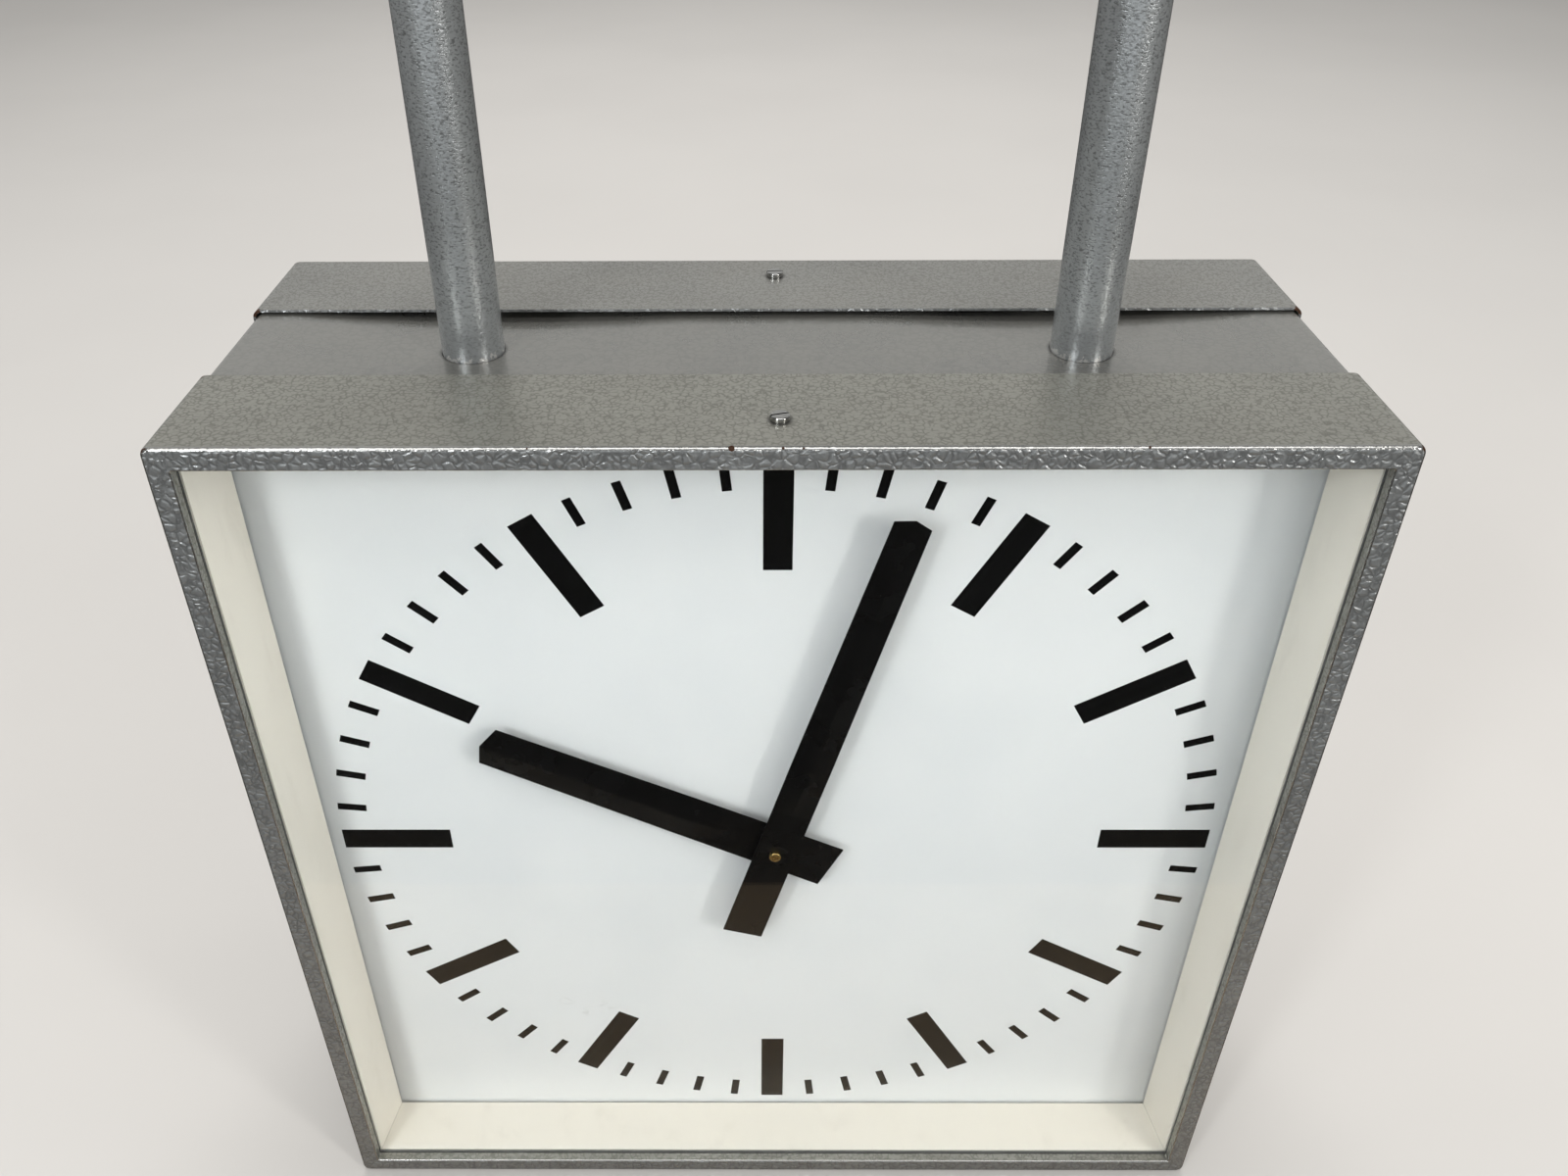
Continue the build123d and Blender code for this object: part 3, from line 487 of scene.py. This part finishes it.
def tubePaint():
    finish = tubePaintFinish
    material, tree, shader = newMaterial("tubePaint", Metallic=finish["metallic"], Coat_Weight=finish["coat"],
                                         Coat_Roughness=finish["coatGloss"])
    point = objectPoint(tree)
    up = splitVector(tree, point)[2]
    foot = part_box("case_shell")[1].z
    # short dark flecks that lie across the tube, and fade out near its foot
    squeeze = (1.0, 1.0, finish["fleckLength"] / finish["fleckHeight"])
    flecks = noise(tree, vectorMaths(tree, "MULTIPLY", point, squeeze), 1 / finish["fleckLength"], 3.0, 0.6)
    flecks = ramp(tree, flecks, *finish["fleckSpan"])
    flecks = times(tree, flecks, ramp(tree, up, foot, foot + finish["smoothBase"], finish["footFlecks"], 1.0))
    relief = useHammer(tree, point, finish["cellSize"], finish["warp"])
    wear = useWear(tree, point, *finish["wear"])
    tone = cover(tree, finish["light"], flecks, finish["dark"], finish["darkShare"])
    tone = cover(tree, tone, relief["Flakes"], finish["glint"], finish["glintShare"])
    tone = cover(tree, tone, wear["Chips"], bareRust)
    # the paint has flaked a little just above the case
    nearFoot = ramp(tree, up, foot - finish["flakeBelow"], foot + finish["flakeReach"], 1.0, 0.0)
    flaked = times(tree, nearFoot, finish["flakeShare"])
    flaked = plus(tree, flaked, noise(tree, point, finish["flakeScale"], 3.0, 0.6))
    tone = cover(tree, tone, ramp(tree, flaked, *finish["flakeSpan"]), finish["flaked"])
    gloss = ramp(tree, useSmudges(tree, point, finish["smudgeSize"])["Soft"], 0.0, 1.0, *finish["gloss"])
    height = minus(tree, relief["Height"], times(tree, flecks, finish["fleckDepth"]))
    setSurface(tree, shader, tone, gloss, height, finish["relief"])
    return material


creamFinish = {"coat": 0.15, "coatGloss": 0.2, "enamel": (0.78, 0.74, 0.66),
               "wiped": (0.69, 0.65, 0.575), "wipedShare": 0.5,
               "soft": (0.79, 0.755, 0.685), "softShare": 0.25,
               "specks": (38 * mm, 0.5 * mm, 0.25), "speck": (0.1, 0.09, 0.08), "speckShare": 0.7,
               "mitreWidth": 0.35 * mm, "mitre": (0.22, 0.21, 0.19), "mitreShare": 0.55,
               "smudgeSize": 45 * mm, "gloss": (0.32, 0.5), "grainScale": 600.0, "grain": 0.012 * mm}


def creamEnamel():
    finish = creamFinish
    material, tree, shader = newMaterial("creamEnamel", Coat_Weight=finish["coat"],
                                         Coat_Roughness=finish["coatGloss"])
    point = objectPoint(tree)
    marks = useSmudges(tree, point, finish["smudgeSize"])
    # the four pieces of the frame meet at fine mitre lines
    x, _, z = splitVector(tree, vectorMaths(tree, "SUBTRACT", point, boxMiddle(*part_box("front_dial"))))
    offLine = absolute(tree, minus(tree, absolute(tree, x), absolute(tree, z)))
    mitre = ramp(tree, offLine, 0.0, finish["mitreWidth"], finish["mitreShare"], 0.0)
    tone = cover(tree, finish["enamel"], marks["Wiped"], finish["wiped"], finish["wipedShare"])
    tone = cover(tree, tone, marks["Soft"], finish["soft"], finish["softShare"])
    tone = cover(tree, tone, useSpecks(tree, point, *finish["specks"]), finish["speck"], finish["speckShare"])
    tone = cover(tree, tone, mitre, finish["mitre"])
    gloss = ramp(tree, marks["Wiped"], 0.0, 1.0, *finish["gloss"])
    setSurface(tree, shader, tone, gloss, noise(tree, point, finish["grainScale"], 2.0), finish["grain"])
    return material


dialFinish = {"coat": 0.2, "coatGloss": 0.12, "enamel": (0.86, 0.875, 0.88), "tint": (0.82, 0.84, 0.85),
              "specks": (45 * mm, 0.45 * mm, 0.45), "speck": (0.12, 0.11, 0.10), "speckShare": 0.75,
              # the edge tone is painted shade along the dial's upright edges
              "edgeShadeTone": (0.50, 0.52, 0.53), "edgeShadeReach": 24 * mm, "edgeShare": 0.8, "visibleHalf": 278 * mm,
              "scribbleAt": (0.26, 0.21), "scribbleHalf": (36 * mm, 13 * mm), "scribbleFade": (0.3, 1.0),
              "scribble": (0.45, 0.44, 0.42), "scribbleShare": 0.22, "lineStretch": (0.5, 1.0, 1.0),
              "lineScale": 85.0, "lineWidth": 0.02,
              "smudgeSize": 120 * mm, "gloss": (0.3, 0.42), "grainScale": 60.0, "grain": 0.01 * mm}


def rubbedScribble(tree, point, across, up):
    # a faint scribble low on the left: contour lines of a soft noise, inside a small oval
    finish = dialFinish
    low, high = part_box("front_dial")
    placeX = low.x + finish["scribbleAt"][0] * (high.x - low.x)
    placeZ = low.z + finish["scribbleAt"][1] * (high.z - low.z)
    sideOff = maths(tree, "DIVIDE", minus(tree, across, placeX), finish["scribbleHalf"][0])
    heightOff = maths(tree, "DIVIDE", minus(tree, up, placeZ), finish["scribbleHalf"][1])
    away = plus(tree, maths(tree, "POWER", sideOff, 2.0), maths(tree, "POWER", heightOff, 2.0))
    lines = noise(tree, vectorMaths(tree, "MULTIPLY", point, finish["lineStretch"]), finish["lineScale"], 2.0)
    lines = ramp(tree, absolute(tree, minus(tree, lines, 0.5)), 0.0, finish["lineWidth"], 1.0, 0.0)
    return times(tree, lines, ramp(tree, away, *finish["scribbleFade"], finish["scribbleShare"], 0.0))


def dialEnamel():
    finish = dialFinish
    material, tree, shader = newMaterial("dialEnamel", Coat_Weight=finish["coat"],
                                         Coat_Roughness=finish["coatGloss"])
    point = objectPoint(tree)
    across, _, up = splitVector(tree, point)
    marks = useSmudges(tree, point, finish["smudgeSize"])
    tone = cover(tree, finish["enamel"], marks["Soft"], finish["tint"])
    # painted shade: a grey tone along the two upright edges, in place of the soft shade that falls there
    low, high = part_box("front_dial")
    fromMiddle = absolute(tree, minus(tree, across, (low.x + high.x) / 2))
    edgeShadeStart = finish["visibleHalf"] - finish["edgeShadeReach"]
    paintedEdgeShade = ramp(tree, fromMiddle, edgeShadeStart, finish["visibleHalf"])
    tone = cover(tree, tone, paintedEdgeShade, finish["edgeShadeTone"], finish["edgeShare"])
    tone = cover(tree, tone, rubbedScribble(tree, point, across, up), finish["scribble"])
    tone = cover(tree, tone, useSpecks(tree, point, *finish["specks"]), finish["speck"], finish["speckShare"])
    gloss = ramp(tree, marks["Wiped"], 0.0, 1.0, *finish["gloss"])
    setSurface(tree, shader, tone, gloss, noise(tree, point, finish["grainScale"], 2.0), finish["grain"])
    return material


handFinish = {"specular": 0.15, "lacquer": (0.0025, 0.0025, 0.0026), "worn": (0.02, 0.019, 0.018),
              "wornShare": 0.4, "wear": (0.4 * mm, 6 * mm, 0.5), "specks": (9 * mm, 0.22 * mm, 0.35),
              "dust": (0.2, 0.19, 0.18), "dustShare": 0.5, "smudgeSize": 25 * mm, "gloss": (0.2, 0.3),
              "grainScale": 900.0, "grain": 0.01 * mm}


def handLacquer():
    finish = handFinish
    material, tree, shader = newMaterial("handLacquer", Specular_IOR_Level=finish["specular"])
    point = objectPoint(tree)
    wear = useWear(tree, point, *finish["wear"])
    tone = cover(tree, finish["lacquer"], wear["Edge"], finish["worn"], finish["wornShare"])
    tone = cover(tree, tone, useSpecks(tree, point, *finish["specks"]), finish["dust"], finish["dustShare"])
    gloss = ramp(tree, useSmudges(tree, point, finish["smudgeSize"])["Soft"], 0.0, 1.0, *finish["gloss"])
    setSurface(tree, shader, tone, gloss, noise(tree, point, finish["grainScale"], 3.0), finish["grain"])
    return material


inkFinish = {"specular": 0.15, "thick": (0.002, 0.0022, 0.0024), "thin": (0.003, 0.003, 0.003),
             "unevenScale": 260.0, "unevenSpan": (0.3, 0.7), "gloss": (0.24, 0.27), "relief": 0.004 * mm,
             "pinholes": (14 * mm, 0.25 * mm, 0.2), "pinhole": (0.4, 0.4, 0.4), "pinholeShare": 0.5}


def dialInk():
    finish = inkFinish
    material, tree, shader = newMaterial("dialInk", Specular_IOR_Level=finish["specular"])
    point = objectPoint(tree)
    uneven = noise(tree, point, finish["unevenScale"], 4.0, 0.6)
    tone = cover(tree, finish["thick"], ramp(tree, uneven, *finish["unevenSpan"]), finish["thin"])
    pinholes = useSpecks(tree, point, *finish["pinholes"])
    tone = cover(tree, tone, pinholes, finish["pinhole"], finish["pinholeShare"])
    gloss = ramp(tree, uneven, *finish["unevenSpan"], *finish["gloss"])
    setSurface(tree, shader, tone, gloss, uneven, finish["relief"])
    return material


glassFinish = {"tint": (0.985, 0.995, 0.99), "ior": 1.45, "lampTint": (0.96, 0.97, 0.965),
               "smudgeSize": 70 * mm, "gloss": (0.0, 0.012)}


def clearGlass():
    # lamps shine straight through the panes, so that they light the dial without caustics
    finish = glassFinish
    material, tree, shader = newMaterial("clearGlass", Base_Color=finish["tint"], Transmission_Weight=1.0,
                                         IOR=finish["ior"])
    wiped = useSmudges(tree, objectPoint(tree), finish["smudgeSize"])["Wiped"]
    connect(tree, shader.inputs["Roughness"], ramp(tree, wiped, 0.0, 1.0, *finish["gloss"]))
    path = addNode(tree, "ShaderNodeLightPath")
    lamp = addNode(tree, "ShaderNodeBsdfTransparent", {"Color": finish["lampTint"]})
    mix = addNode(tree, "ShaderNodeMixShader", {0: path.outputs["Is Shadow Ray"], 1: shader.outputs["BSDF"],
                                                2: lamp.outputs["BSDF"]})
    tree.links.new(mix.outputs["Shader"], tree.nodes["Material Output"].inputs["Surface"])
    return material


# Both rubbers share the grain; the base and the pale bloom on it differ.
rubberLook = {"specular": 0.35, "grainScale": 700.0, "grainSpan": (0.3, 0.7), "gloss": (0.62, 0.8),
              "grain": 0.04 * mm, "bloomScale": 60.0, "bloomSpan": (0.45, 0.75), "bloomShare": 0.5}
rubberFinishes = {"blackRubber": {"base": (0.018, 0.018, 0.018), "bloom": (0.07, 0.068, 0.065)},
                  "greyGasket": {"base": (0.09, 0.09, 0.088), "bloom": (0.16, 0.158, 0.15)}}


def rubber(name):
    look, finish = rubberLook, rubberFinishes[name]
    material, tree, shader = newMaterial(name, Specular_IOR_Level=look["specular"])
    point = objectPoint(tree)
    grain = noise(tree, point, look["grainScale"], 4.0, 0.7)
    bloom = ramp(tree, noise(tree, point, look["bloomScale"], 4.0), *look["bloomSpan"])
    tone = cover(tree, finish["base"], bloom, finish["bloom"], look["bloomShare"])
    gloss = ramp(tree, grain, *look["grainSpan"], *look["gloss"])
    setSurface(tree, shader, tone, gloss, grain, look["grain"])
    return material


# Plain metals share one recipe: a base tone, brushed or turned lines, stains, and brighter edges that are rubbed wear
# and a painted highlight.
metalLook = {"lineWidth": 0.5 * mm, "wear": (0.4 * mm, 4 * mm, 0.4), "stainScale": 130.0,
             "stainSpan": (0.45, 0.75), "scratchShare": 0.3, "edgeShare": 0.6, "grainShare": 0.4,
             "glossSpan": (0.1, 0.8), "relief": 0.015 * mm}
metalFinishes = {
    "chromedScrew": {"base": (0.45, 0.45, 0.44), "stain": (0.16, 0.14, 0.11), "edge": (0.85, 0.85, 0.84),
                     "gloss": (0.08, 0.3), "stretch": (1, 1, 0.2), "stains": 0.35},
    "zincSteel": {"base": (0.50, 0.51, 0.52), "stain": (0.30, 0.30, 0.27), "edge": (0.66, 0.67, 0.68),
                  "gloss": (0.32, 0.55), "stretch": (0.05, 1, 1), "stains": 0.6},
    "brushedBrass": {"base": (0.60, 0.42, 0.16), "stain": (0.27, 0.16, 0.06), "edge": (0.80, 0.62, 0.30),
                     "gloss": (0.22, 0.42), "stretch": (1, 1, 0.04), "stains": 0.45},
    "arborSteel": {"base": (0.52, 0.52, 0.53), "stain": (0.30, 0.27, 0.23), "edge": (0.78, 0.78, 0.79),
                   "gloss": (0.14, 0.3), "stretch": (1, 0.05, 1), "stains": 0.25},
    "statorIron": {"base": (0.27, 0.27, 0.28), "stain": (0.12, 0.09, 0.07), "edge": (0.42, 0.42, 0.43),
                   "gloss": (0.38, 0.6), "stretch": (0.04, 1, 0.04), "stains": 0.6},
}


def plainMetal(name):
    look, finish = metalLook, metalFinishes[name]
    material, tree, shader = newMaterial(name, Metallic=1.0)
    point = objectPoint(tree)
    lines = {"Point": point, "Stretch": finish["stretch"], "Line Width": look["lineWidth"]}
    grain = useGroup(tree, "brushedGrain", lines)
    wear = useWear(tree, point, *look["wear"])
    stains = noise(tree, point, look["stainScale"], 5.0, 0.65)
    stains = ramp(tree, stains, *look["stainSpan"], 0.0, finish["stains"])
    tone = cover(tree, finish["base"], stains, finish["stain"])
    tone = cover(tree, tone, grain["Scratches"], finish["edge"], look["scratchShare"])
    # rubbed wear and a painted highlight: the edges take the brighter edge tone
    tone = cover(tree, tone, wear["Edge"], finish["edge"], look["edgeShare"])
    dull = plus(tree, stains, times(tree, grain["Grain"], look["grainShare"]))
    gloss = ramp(tree, dull, *look["glossSpan"], *finish["gloss"])
    setSurface(tree, shader, tone, gloss, grain["Grain"], look["relief"])
    return material


# Moulded and sintered pieces: a tone, a second tone in soft clouds, a fine grain.
mouldedLook = {"cloudScale": 90.0, "cloudSpan": (0.35, 0.7), "grainScale": 1400.0,
               "wear": (0.4 * mm, 5 * mm, 0.3), "worn": (0.5, 0.48, 0.44), "wornShare": 0.25}
mouldedFinishes = {
    "bakelite": {"base": (0.055, 0.024, 0.012), "cloud": (0.11, 0.05, 0.025), "gloss": (0.22, 0.4),
                 "grain": 0.01 * mm},
    "bobbinPlastic": {"base": (0.70, 0.66, 0.54), "cloud": (0.58, 0.53, 0.42), "gloss": (0.4, 0.55),
                      "grain": 0.02 * mm},
    "rotorFerrite": {"base": (0.045, 0.045, 0.05), "cloud": (0.09, 0.088, 0.09), "gloss": (0.5, 0.7),
                     "grain": 0.05 * mm},
}


def mouldedPiece(name):
    look, finish = mouldedLook, mouldedFinishes[name]
    material, tree, shader = newMaterial(name)
    point = objectPoint(tree)
    clouds = ramp(tree, noise(tree, point, look["cloudScale"], 4.0, 0.6), *look["cloudSpan"])
    wear = useWear(tree, point, *look["wear"])
    tone = cover(tree, finish["base"], clouds, finish["cloud"])
    tone = cover(tree, tone, wear["Edge"], look["worn"], look["wornShare"])
    gloss = ramp(tree, clouds, 0.0, 1.0, *finish["gloss"])
    setSurface(tree, shader, tone, gloss, noise(tree, point, look["grainScale"], 3.0), finish["grain"])
    return material


windingFinish = {"metallic": 0.7, "coat": 0.6, "coatGloss": 0.15, "wireWidth": 0.22 * mm,
                 # the gap tone is painted shade in the grooves between the turns of wire
                 "crest": (0.50, 0.19, 0.07), "gap": (0.10, 0.03, 0.012), "gloss": (0.5, 0.3),
                 "relief": 0.05 * mm, "waverScale": 120.0, "waver": 0.3 * mm}


def windingWire():
    # the turns run round the coil, so they show as fine ridges side by side along X
    finish = windingFinish
    material, tree, shader = newMaterial("windingWire", Metallic=finish["metallic"],
                                         Coat_Weight=finish["coat"], Coat_Roughness=finish["coatGloss"])
    point = objectPoint(tree)
    waver = times(tree, noise(tree, point, finish["waverScale"], 2.0), finish["waver"])
    phase = plus(tree, splitVector(tree, point)[0], waver)
    phase = times(tree, phase, 2 * math.pi / finish["wireWidth"])
    ridge = ramp(tree, maths(tree, "SINE", phase), -1.0, 1.0)
    # painted shade: the darker gap tone fills the grooves between the turns
    tone = cover(tree, finish["gap"], ridge, finish["crest"])
    setSurface(tree, shader, tone, ramp(tree, ridge, 0.0, 1.0, *finish["gloss"]), ridge, finish["relief"])
    return material


slotMaterials = {
    "case_paint": casePaint(),
    "tube_paint": tubePaint(),
    "clear_glass": clearGlass(),
    "cream_enamel": creamEnamel(),
    "dial_enamel": dialEnamel(),
    "hand_lacquer": handLacquer(),
    "black_rubber": rubber("blackRubber"),
    "chromed_screw": plainMetal("chromedScrew"),
    "zinc_steel": plainMetal("zincSteel"),
    "brass": plainMetal("brushedBrass"),
    "arbor_steel": plainMetal("arborSteel"),
    "stator_iron": plainMetal("statorIron"),
    "bakelite": mouldedPiece("bakelite"),
    "bobbin_plastic": mouldedPiece("bobbinPlastic"),
    "rotor_ferrite": mouldedPiece("rotorFerrite"),
    "winding_wire": windingWire(),
}
nodeMaterials = {
    "glass_gaskets": rubber("greyGasket"),
    "front_bezel": hammerPaint("frontBezelPaint", frontBezelPaint, "front_bezel"),
    "rear_bezel": hammerPaint("rearBezelPaint", rearBezelPaint, "rear_bezel"),
}
for part in frame["record"]["subparts"]:
    material = nodeMaterials.get(part["node"]) or slotMaterials[part["material_slot"]]
    for materialSlot in nodes[part["node"]].material_slots:
        materialSlot.material = material


# length and width of the marks; ink is how far they stand off the dial
dialPrint = {"outerRadius": 270.4 * mm, "baton": (67.8 * mm, 15.8 * mm), "tick": (17.5 * mm, 5.3 * mm),
             "ink": 0.05 * mm}


def printedMark(mesh, turn, mark, dialMiddle, side):
    # one flat block of ink, standing on the dial and pointing to its centre
    length, width = mark
    outer = dialPrint["outerRadius"]
    inner = outer - length
    ink = dialPrint["ink"]
    corners = [(-width / 2, inner), (width / 2, inner), (width / 2, outer), (-width / 2, outer)]
    direction = Matrix.Rotation(-turn, 3, "Z")
    rings = []
    for depth in (0.0, ink):
        ring = []
        for u, v in corners:
            turned = direction @ Vector((u, v, 0.0))
            place = dialMiddle + side * Vector((turned.x, -depth, 0.0)) + Vector((0.0, 0.0, turned.y))
            ring.append(mesh.verts.new(place))
        rings.append(ring)
    back, face = rings
    mesh.faces.new(face)
    mesh.faces.new(reversed(back))
    for first in range(4):
        second = (first + 1) % 4
        mesh.faces.new((back[first], back[second], face[second], face[first]))


def addPrint(name, turns, mark, dialNode, side):
    low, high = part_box(dialNode)
    dialMiddle = Vector(((low.x + high.x) / 2, low.y if side > 0 else high.y, (low.z + high.z) / 2))
    mesh = bmesh.new()
    for turn in turns:
        printedMark(mesh, turn, mark, dialMiddle, side)
    bmesh.ops.recalc_face_normals(mesh, faces=mesh.faces)
    data = bpy.data.meshes.new(name)
    mesh.to_mesh(data)
    mesh.free()
    data.materials.append(inkMaterial)
    piece = bpy.data.objects.new(name, data)
    bpy.context.scene.collection.objects.link(piece)
    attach(piece, "case")


inkMaterial = dialInk()
minuteTurns = [math.radians(6 * minute) for minute in range(60)]
for sideName, side in (("front", 1), ("rear", -1)):
    batons = minuteTurns[::5]
    ticks = [turn for minute, turn in enumerate(minuteTurns) if minute % 5]
    addPrint(f"{sideName}_dial_batons", batons, dialPrint["baton"], f"{sideName}_dial", side)
    addPrint(f"{sideName}_dial_ticks", ticks, dialPrint["tick"], f"{sideName}_dial", side)
print("dials printed")


floorLook = {"size": 14.0, "tone": (0.66, 0.64, 0.615), "shade": 0.97, "mottleScale": 1.3,
             "mottleSpan": (0.3, 0.7), "roughness": 0.9, "specular": 0.1}


def addFloor():
    mesh = bmesh.new()
    bmesh.ops.create_grid(mesh, x_segments=1, y_segments=1, size=floorLook["size"] / 2)
    data = bpy.data.meshes.new("studio_floor")
    mesh.to_mesh(data)
    mesh.free()
    material, tree, shader = newMaterial("floorPaper", Roughness=floorLook["roughness"],
                                         Specular_IOR_Level=floorLook["specular"])
    mottle = noise(tree, objectPoint(tree), floorLook["mottleScale"], 3.0)
    shade = tuple(floorLook["shade"] * value for value in floorLook["tone"])
    tone = cover(tree, floorLook["tone"], ramp(tree, mottle, *floorLook["mottleSpan"]), shade)
    connect(tree, shader.inputs["Base Color"], tone)
    data.materials.append(material)
    floor = bpy.data.objects.new("studio_floor", data)
    floor.location.z = cadBox[0][2]
    floor.visible_glossy = False
    floor.visible_transmission = False
    bpy.context.scene.collection.objects.link(floor)


# A brown board lies in front, seen only in polished surfaces, like the bench a clock stands on for repair.
benchBoard = {"reach": 0.262, "halfWidth": 0.55, "lift": 0.5 * mm, "tone": (0.25, 0.175, 0.10), "shade": 0.8,
              "grainStretch": (0.1, 1.0, 1.0), "grainScale": 60.0, "roughness": 0.6}


def addBenchBoard():
    start = cadBox[0][1]
    end = start - benchBoard["reach"]
    half = benchBoard["halfWidth"]
    level = cadBox[0][2] + benchBoard["lift"]
    mesh = bmesh.new()
    corners = [(-half, end, level), (half, end, level), (half, start, level), (-half, start, level)]
    mesh.faces.new([mesh.verts.new(corner) for corner in corners])
    data = bpy.data.meshes.new("bench_board")
    mesh.to_mesh(data)
    mesh.free()
    material, tree, shader = newMaterial("benchBoard", Roughness=benchBoard["roughness"])
    along = vectorMaths(tree, "MULTIPLY", objectPoint(tree), benchBoard["grainStretch"])
    shade = tuple(benchBoard["shade"] * value for value in benchBoard["tone"])
    tone = cover(tree, benchBoard["tone"], noise(tree, along, benchBoard["grainScale"], 4.0), shade)
    connect(tree, shader.inputs["Base Color"], tone)
    data.materials.append(material)
    board = bpy.data.objects.new("bench_board", data)
    board.visible_camera = False
    board.visible_diffuse = False
    board.visible_shadow = False
    bpy.context.scene.collection.objects.link(board)


# A light with glossy False shows in no reflection; one with diffuse False shows only in reflections.
studioLights = [
    {"name": "overheadStrip", "place": (0.0, -0.95, 2.3), "aim": (0.0, -0.1, 0.55),
     "size": (2.6, 0.6), "watts": 15, "tone": (1.0, 0.985, 0.96)},
    {"name": "windowRight", "place": (1.80, -1.62, 1.16), "aim": (0.0, -0.1, 0.3),
     "size": (0.3, 0.8), "watts": 16.5, "tone": (1.0, 0.98, 0.95)},
    {"name": "windowLeft", "place": (-1.25, -1.85, 1.55), "aim": (0.0, -0.1, 0.3),
     "size": (0.3, 0.8), "watts": 15, "tone": (0.96, 0.985, 1.0)},
    {"name": "windowAhead", "place": (0.0, -2.7, 0.55), "aim": (0.0, -0.1, 0.4),
     "size": (3.0, 0.9), "watts": 7, "tone": (0.92, 0.965, 1.0)},
    {"name": "backPanel", "place": (0.0, 2.7, 4.2), "aim": (0.0, 1.8, 0.0),
     "size": (3.0, 1.2), "watts": 118, "tone": (1.0, 0.99, 0.975), "glossy": False},
    {"name": "sideLeft", "place": (-2.6, 0.1, 1.0), "aim": (0.0, 0.0, 0.4),
     "size": (1.6, 1.4), "watts": 15, "tone": (1.0, 0.99, 0.98), "glossy": False},
    {"name": "sideRight", "place": (2.6, 0.1, 1.0), "aim": (0.0, 0.0, 0.4),
     "size": (1.6, 1.4), "watts": 15, "tone": (1.0, 0.99, 0.98), "glossy": False},
    {"name": "frontGlow", "place": (0.0, -1.55, 2.35), "aim": (0.0, -0.1, 0.6),
     "size": (3.2, 1.0), "watts": 7, "tone": (0.97, 0.985, 1.0), "diffuse": False},
]


def addLight(settings):
    data = bpy.data.lights.new(settings["name"], "AREA")
    data.shape = "RECTANGLE"
    data.size, data.size_y = settings["size"]
    data.energy = settings["watts"]
    data.color = settings["tone"]
    light = bpy.data.objects.new(settings["name"], data)
    light.location = settings["place"]
    direction = Vector(settings["aim"]) - Vector(settings["place"])
    light.rotation_euler = direction.to_track_quat("-Z", "Y").to_euler()
    light.visible_glossy = settings.get("glossy", True)
    light.visible_diffuse = settings.get("diffuse", True)
    bpy.context.scene.collection.objects.link(light)


skyLook = {"behind": (0.58, 0.58, 0.57), "ahead": (0.17, 0.17, 0.17), "turnSpan": (-0.2, 0.4),
           "sides": 0.55, "sideSpan": (0.6, 0.95), "below": (0.025, 0.0225, 0.02),
           "horizonSpan": (-0.12, 0.02), "backdrop": (0.60, 0.59, 0.575)}


def addSky():
    # soft light from above, stronger from behind; from below only a dim glow, for what polished surfaces see
    world = bpy.data.worlds.new("studioSky")
    world.use_nodes = True
    tree = world.node_tree
    background = tree.nodes["Background"]
    direction = addNode(tree, "ShaderNodeTexCoord").outputs["Generated"]
    across, backward, height = splitVector(tree, direction)
    tone = cover(tree, skyLook["ahead"], ramp(tree, backward, *skyLook["turnSpan"]), skyLook["behind"])
    toSide = ramp(tree, absolute(tree, across), *skyLook["sideSpan"], 1.0, skyLook["sides"])
    tone = mixColours(tree, 1.0, tone, greyOf(tree, toSide), "MULTIPLY")
    tone = cover(tree, skyLook["below"], ramp(tree, height, *skyLook["horizonSpan"]), tone)
    seen = addNode(tree, "ShaderNodeLightPath").outputs["Is Camera Ray"]
    tone = cover(tree, tone, seen, skyLook["backdrop"])
    connect(tree, background.inputs["Color"], tone)
    bpy.context.scene.world = world


# degrees for the turns, millimetres for the lens and sensor
cameraView = {"place": (-0.012, -0.641, 0.8815), "heading": 0.45, "downward": 34.8, "roll": -0.32,
              "lens": 29.07, "sensor": 36.0, "sideShift": 0.0235, "nearest": 0.01}


def addCamera():
    data = bpy.data.cameras.new("camera")
    data.lens = cameraView["lens"]
    data.sensor_width = cameraView["sensor"]
    data.shift_x = cameraView["sideShift"]
    data.clip_start = cameraView["nearest"]
    camera = bpy.data.objects.new("camera", data)
    heading = Matrix.Rotation(math.radians(cameraView["heading"]), 4, "Z")
    tilt = Matrix.Rotation(math.radians(90 - cameraView["downward"]), 4, "X")
    roll = Matrix.Rotation(math.radians(cameraView["roll"]), 4, "Z")
    camera.matrix_world = Matrix.Translation(cameraView["place"]) @ heading @ tilt @ roll
    bpy.context.scene.collection.objects.link(camera)
    bpy.context.scene.camera = camera


addFloor()
addBenchBoard()
for settings in studioLights:
    addLight(settings)
addSky()
addCamera()
bpy.context.scene.view_settings.view_transform = "Standard"
print("studio ready")
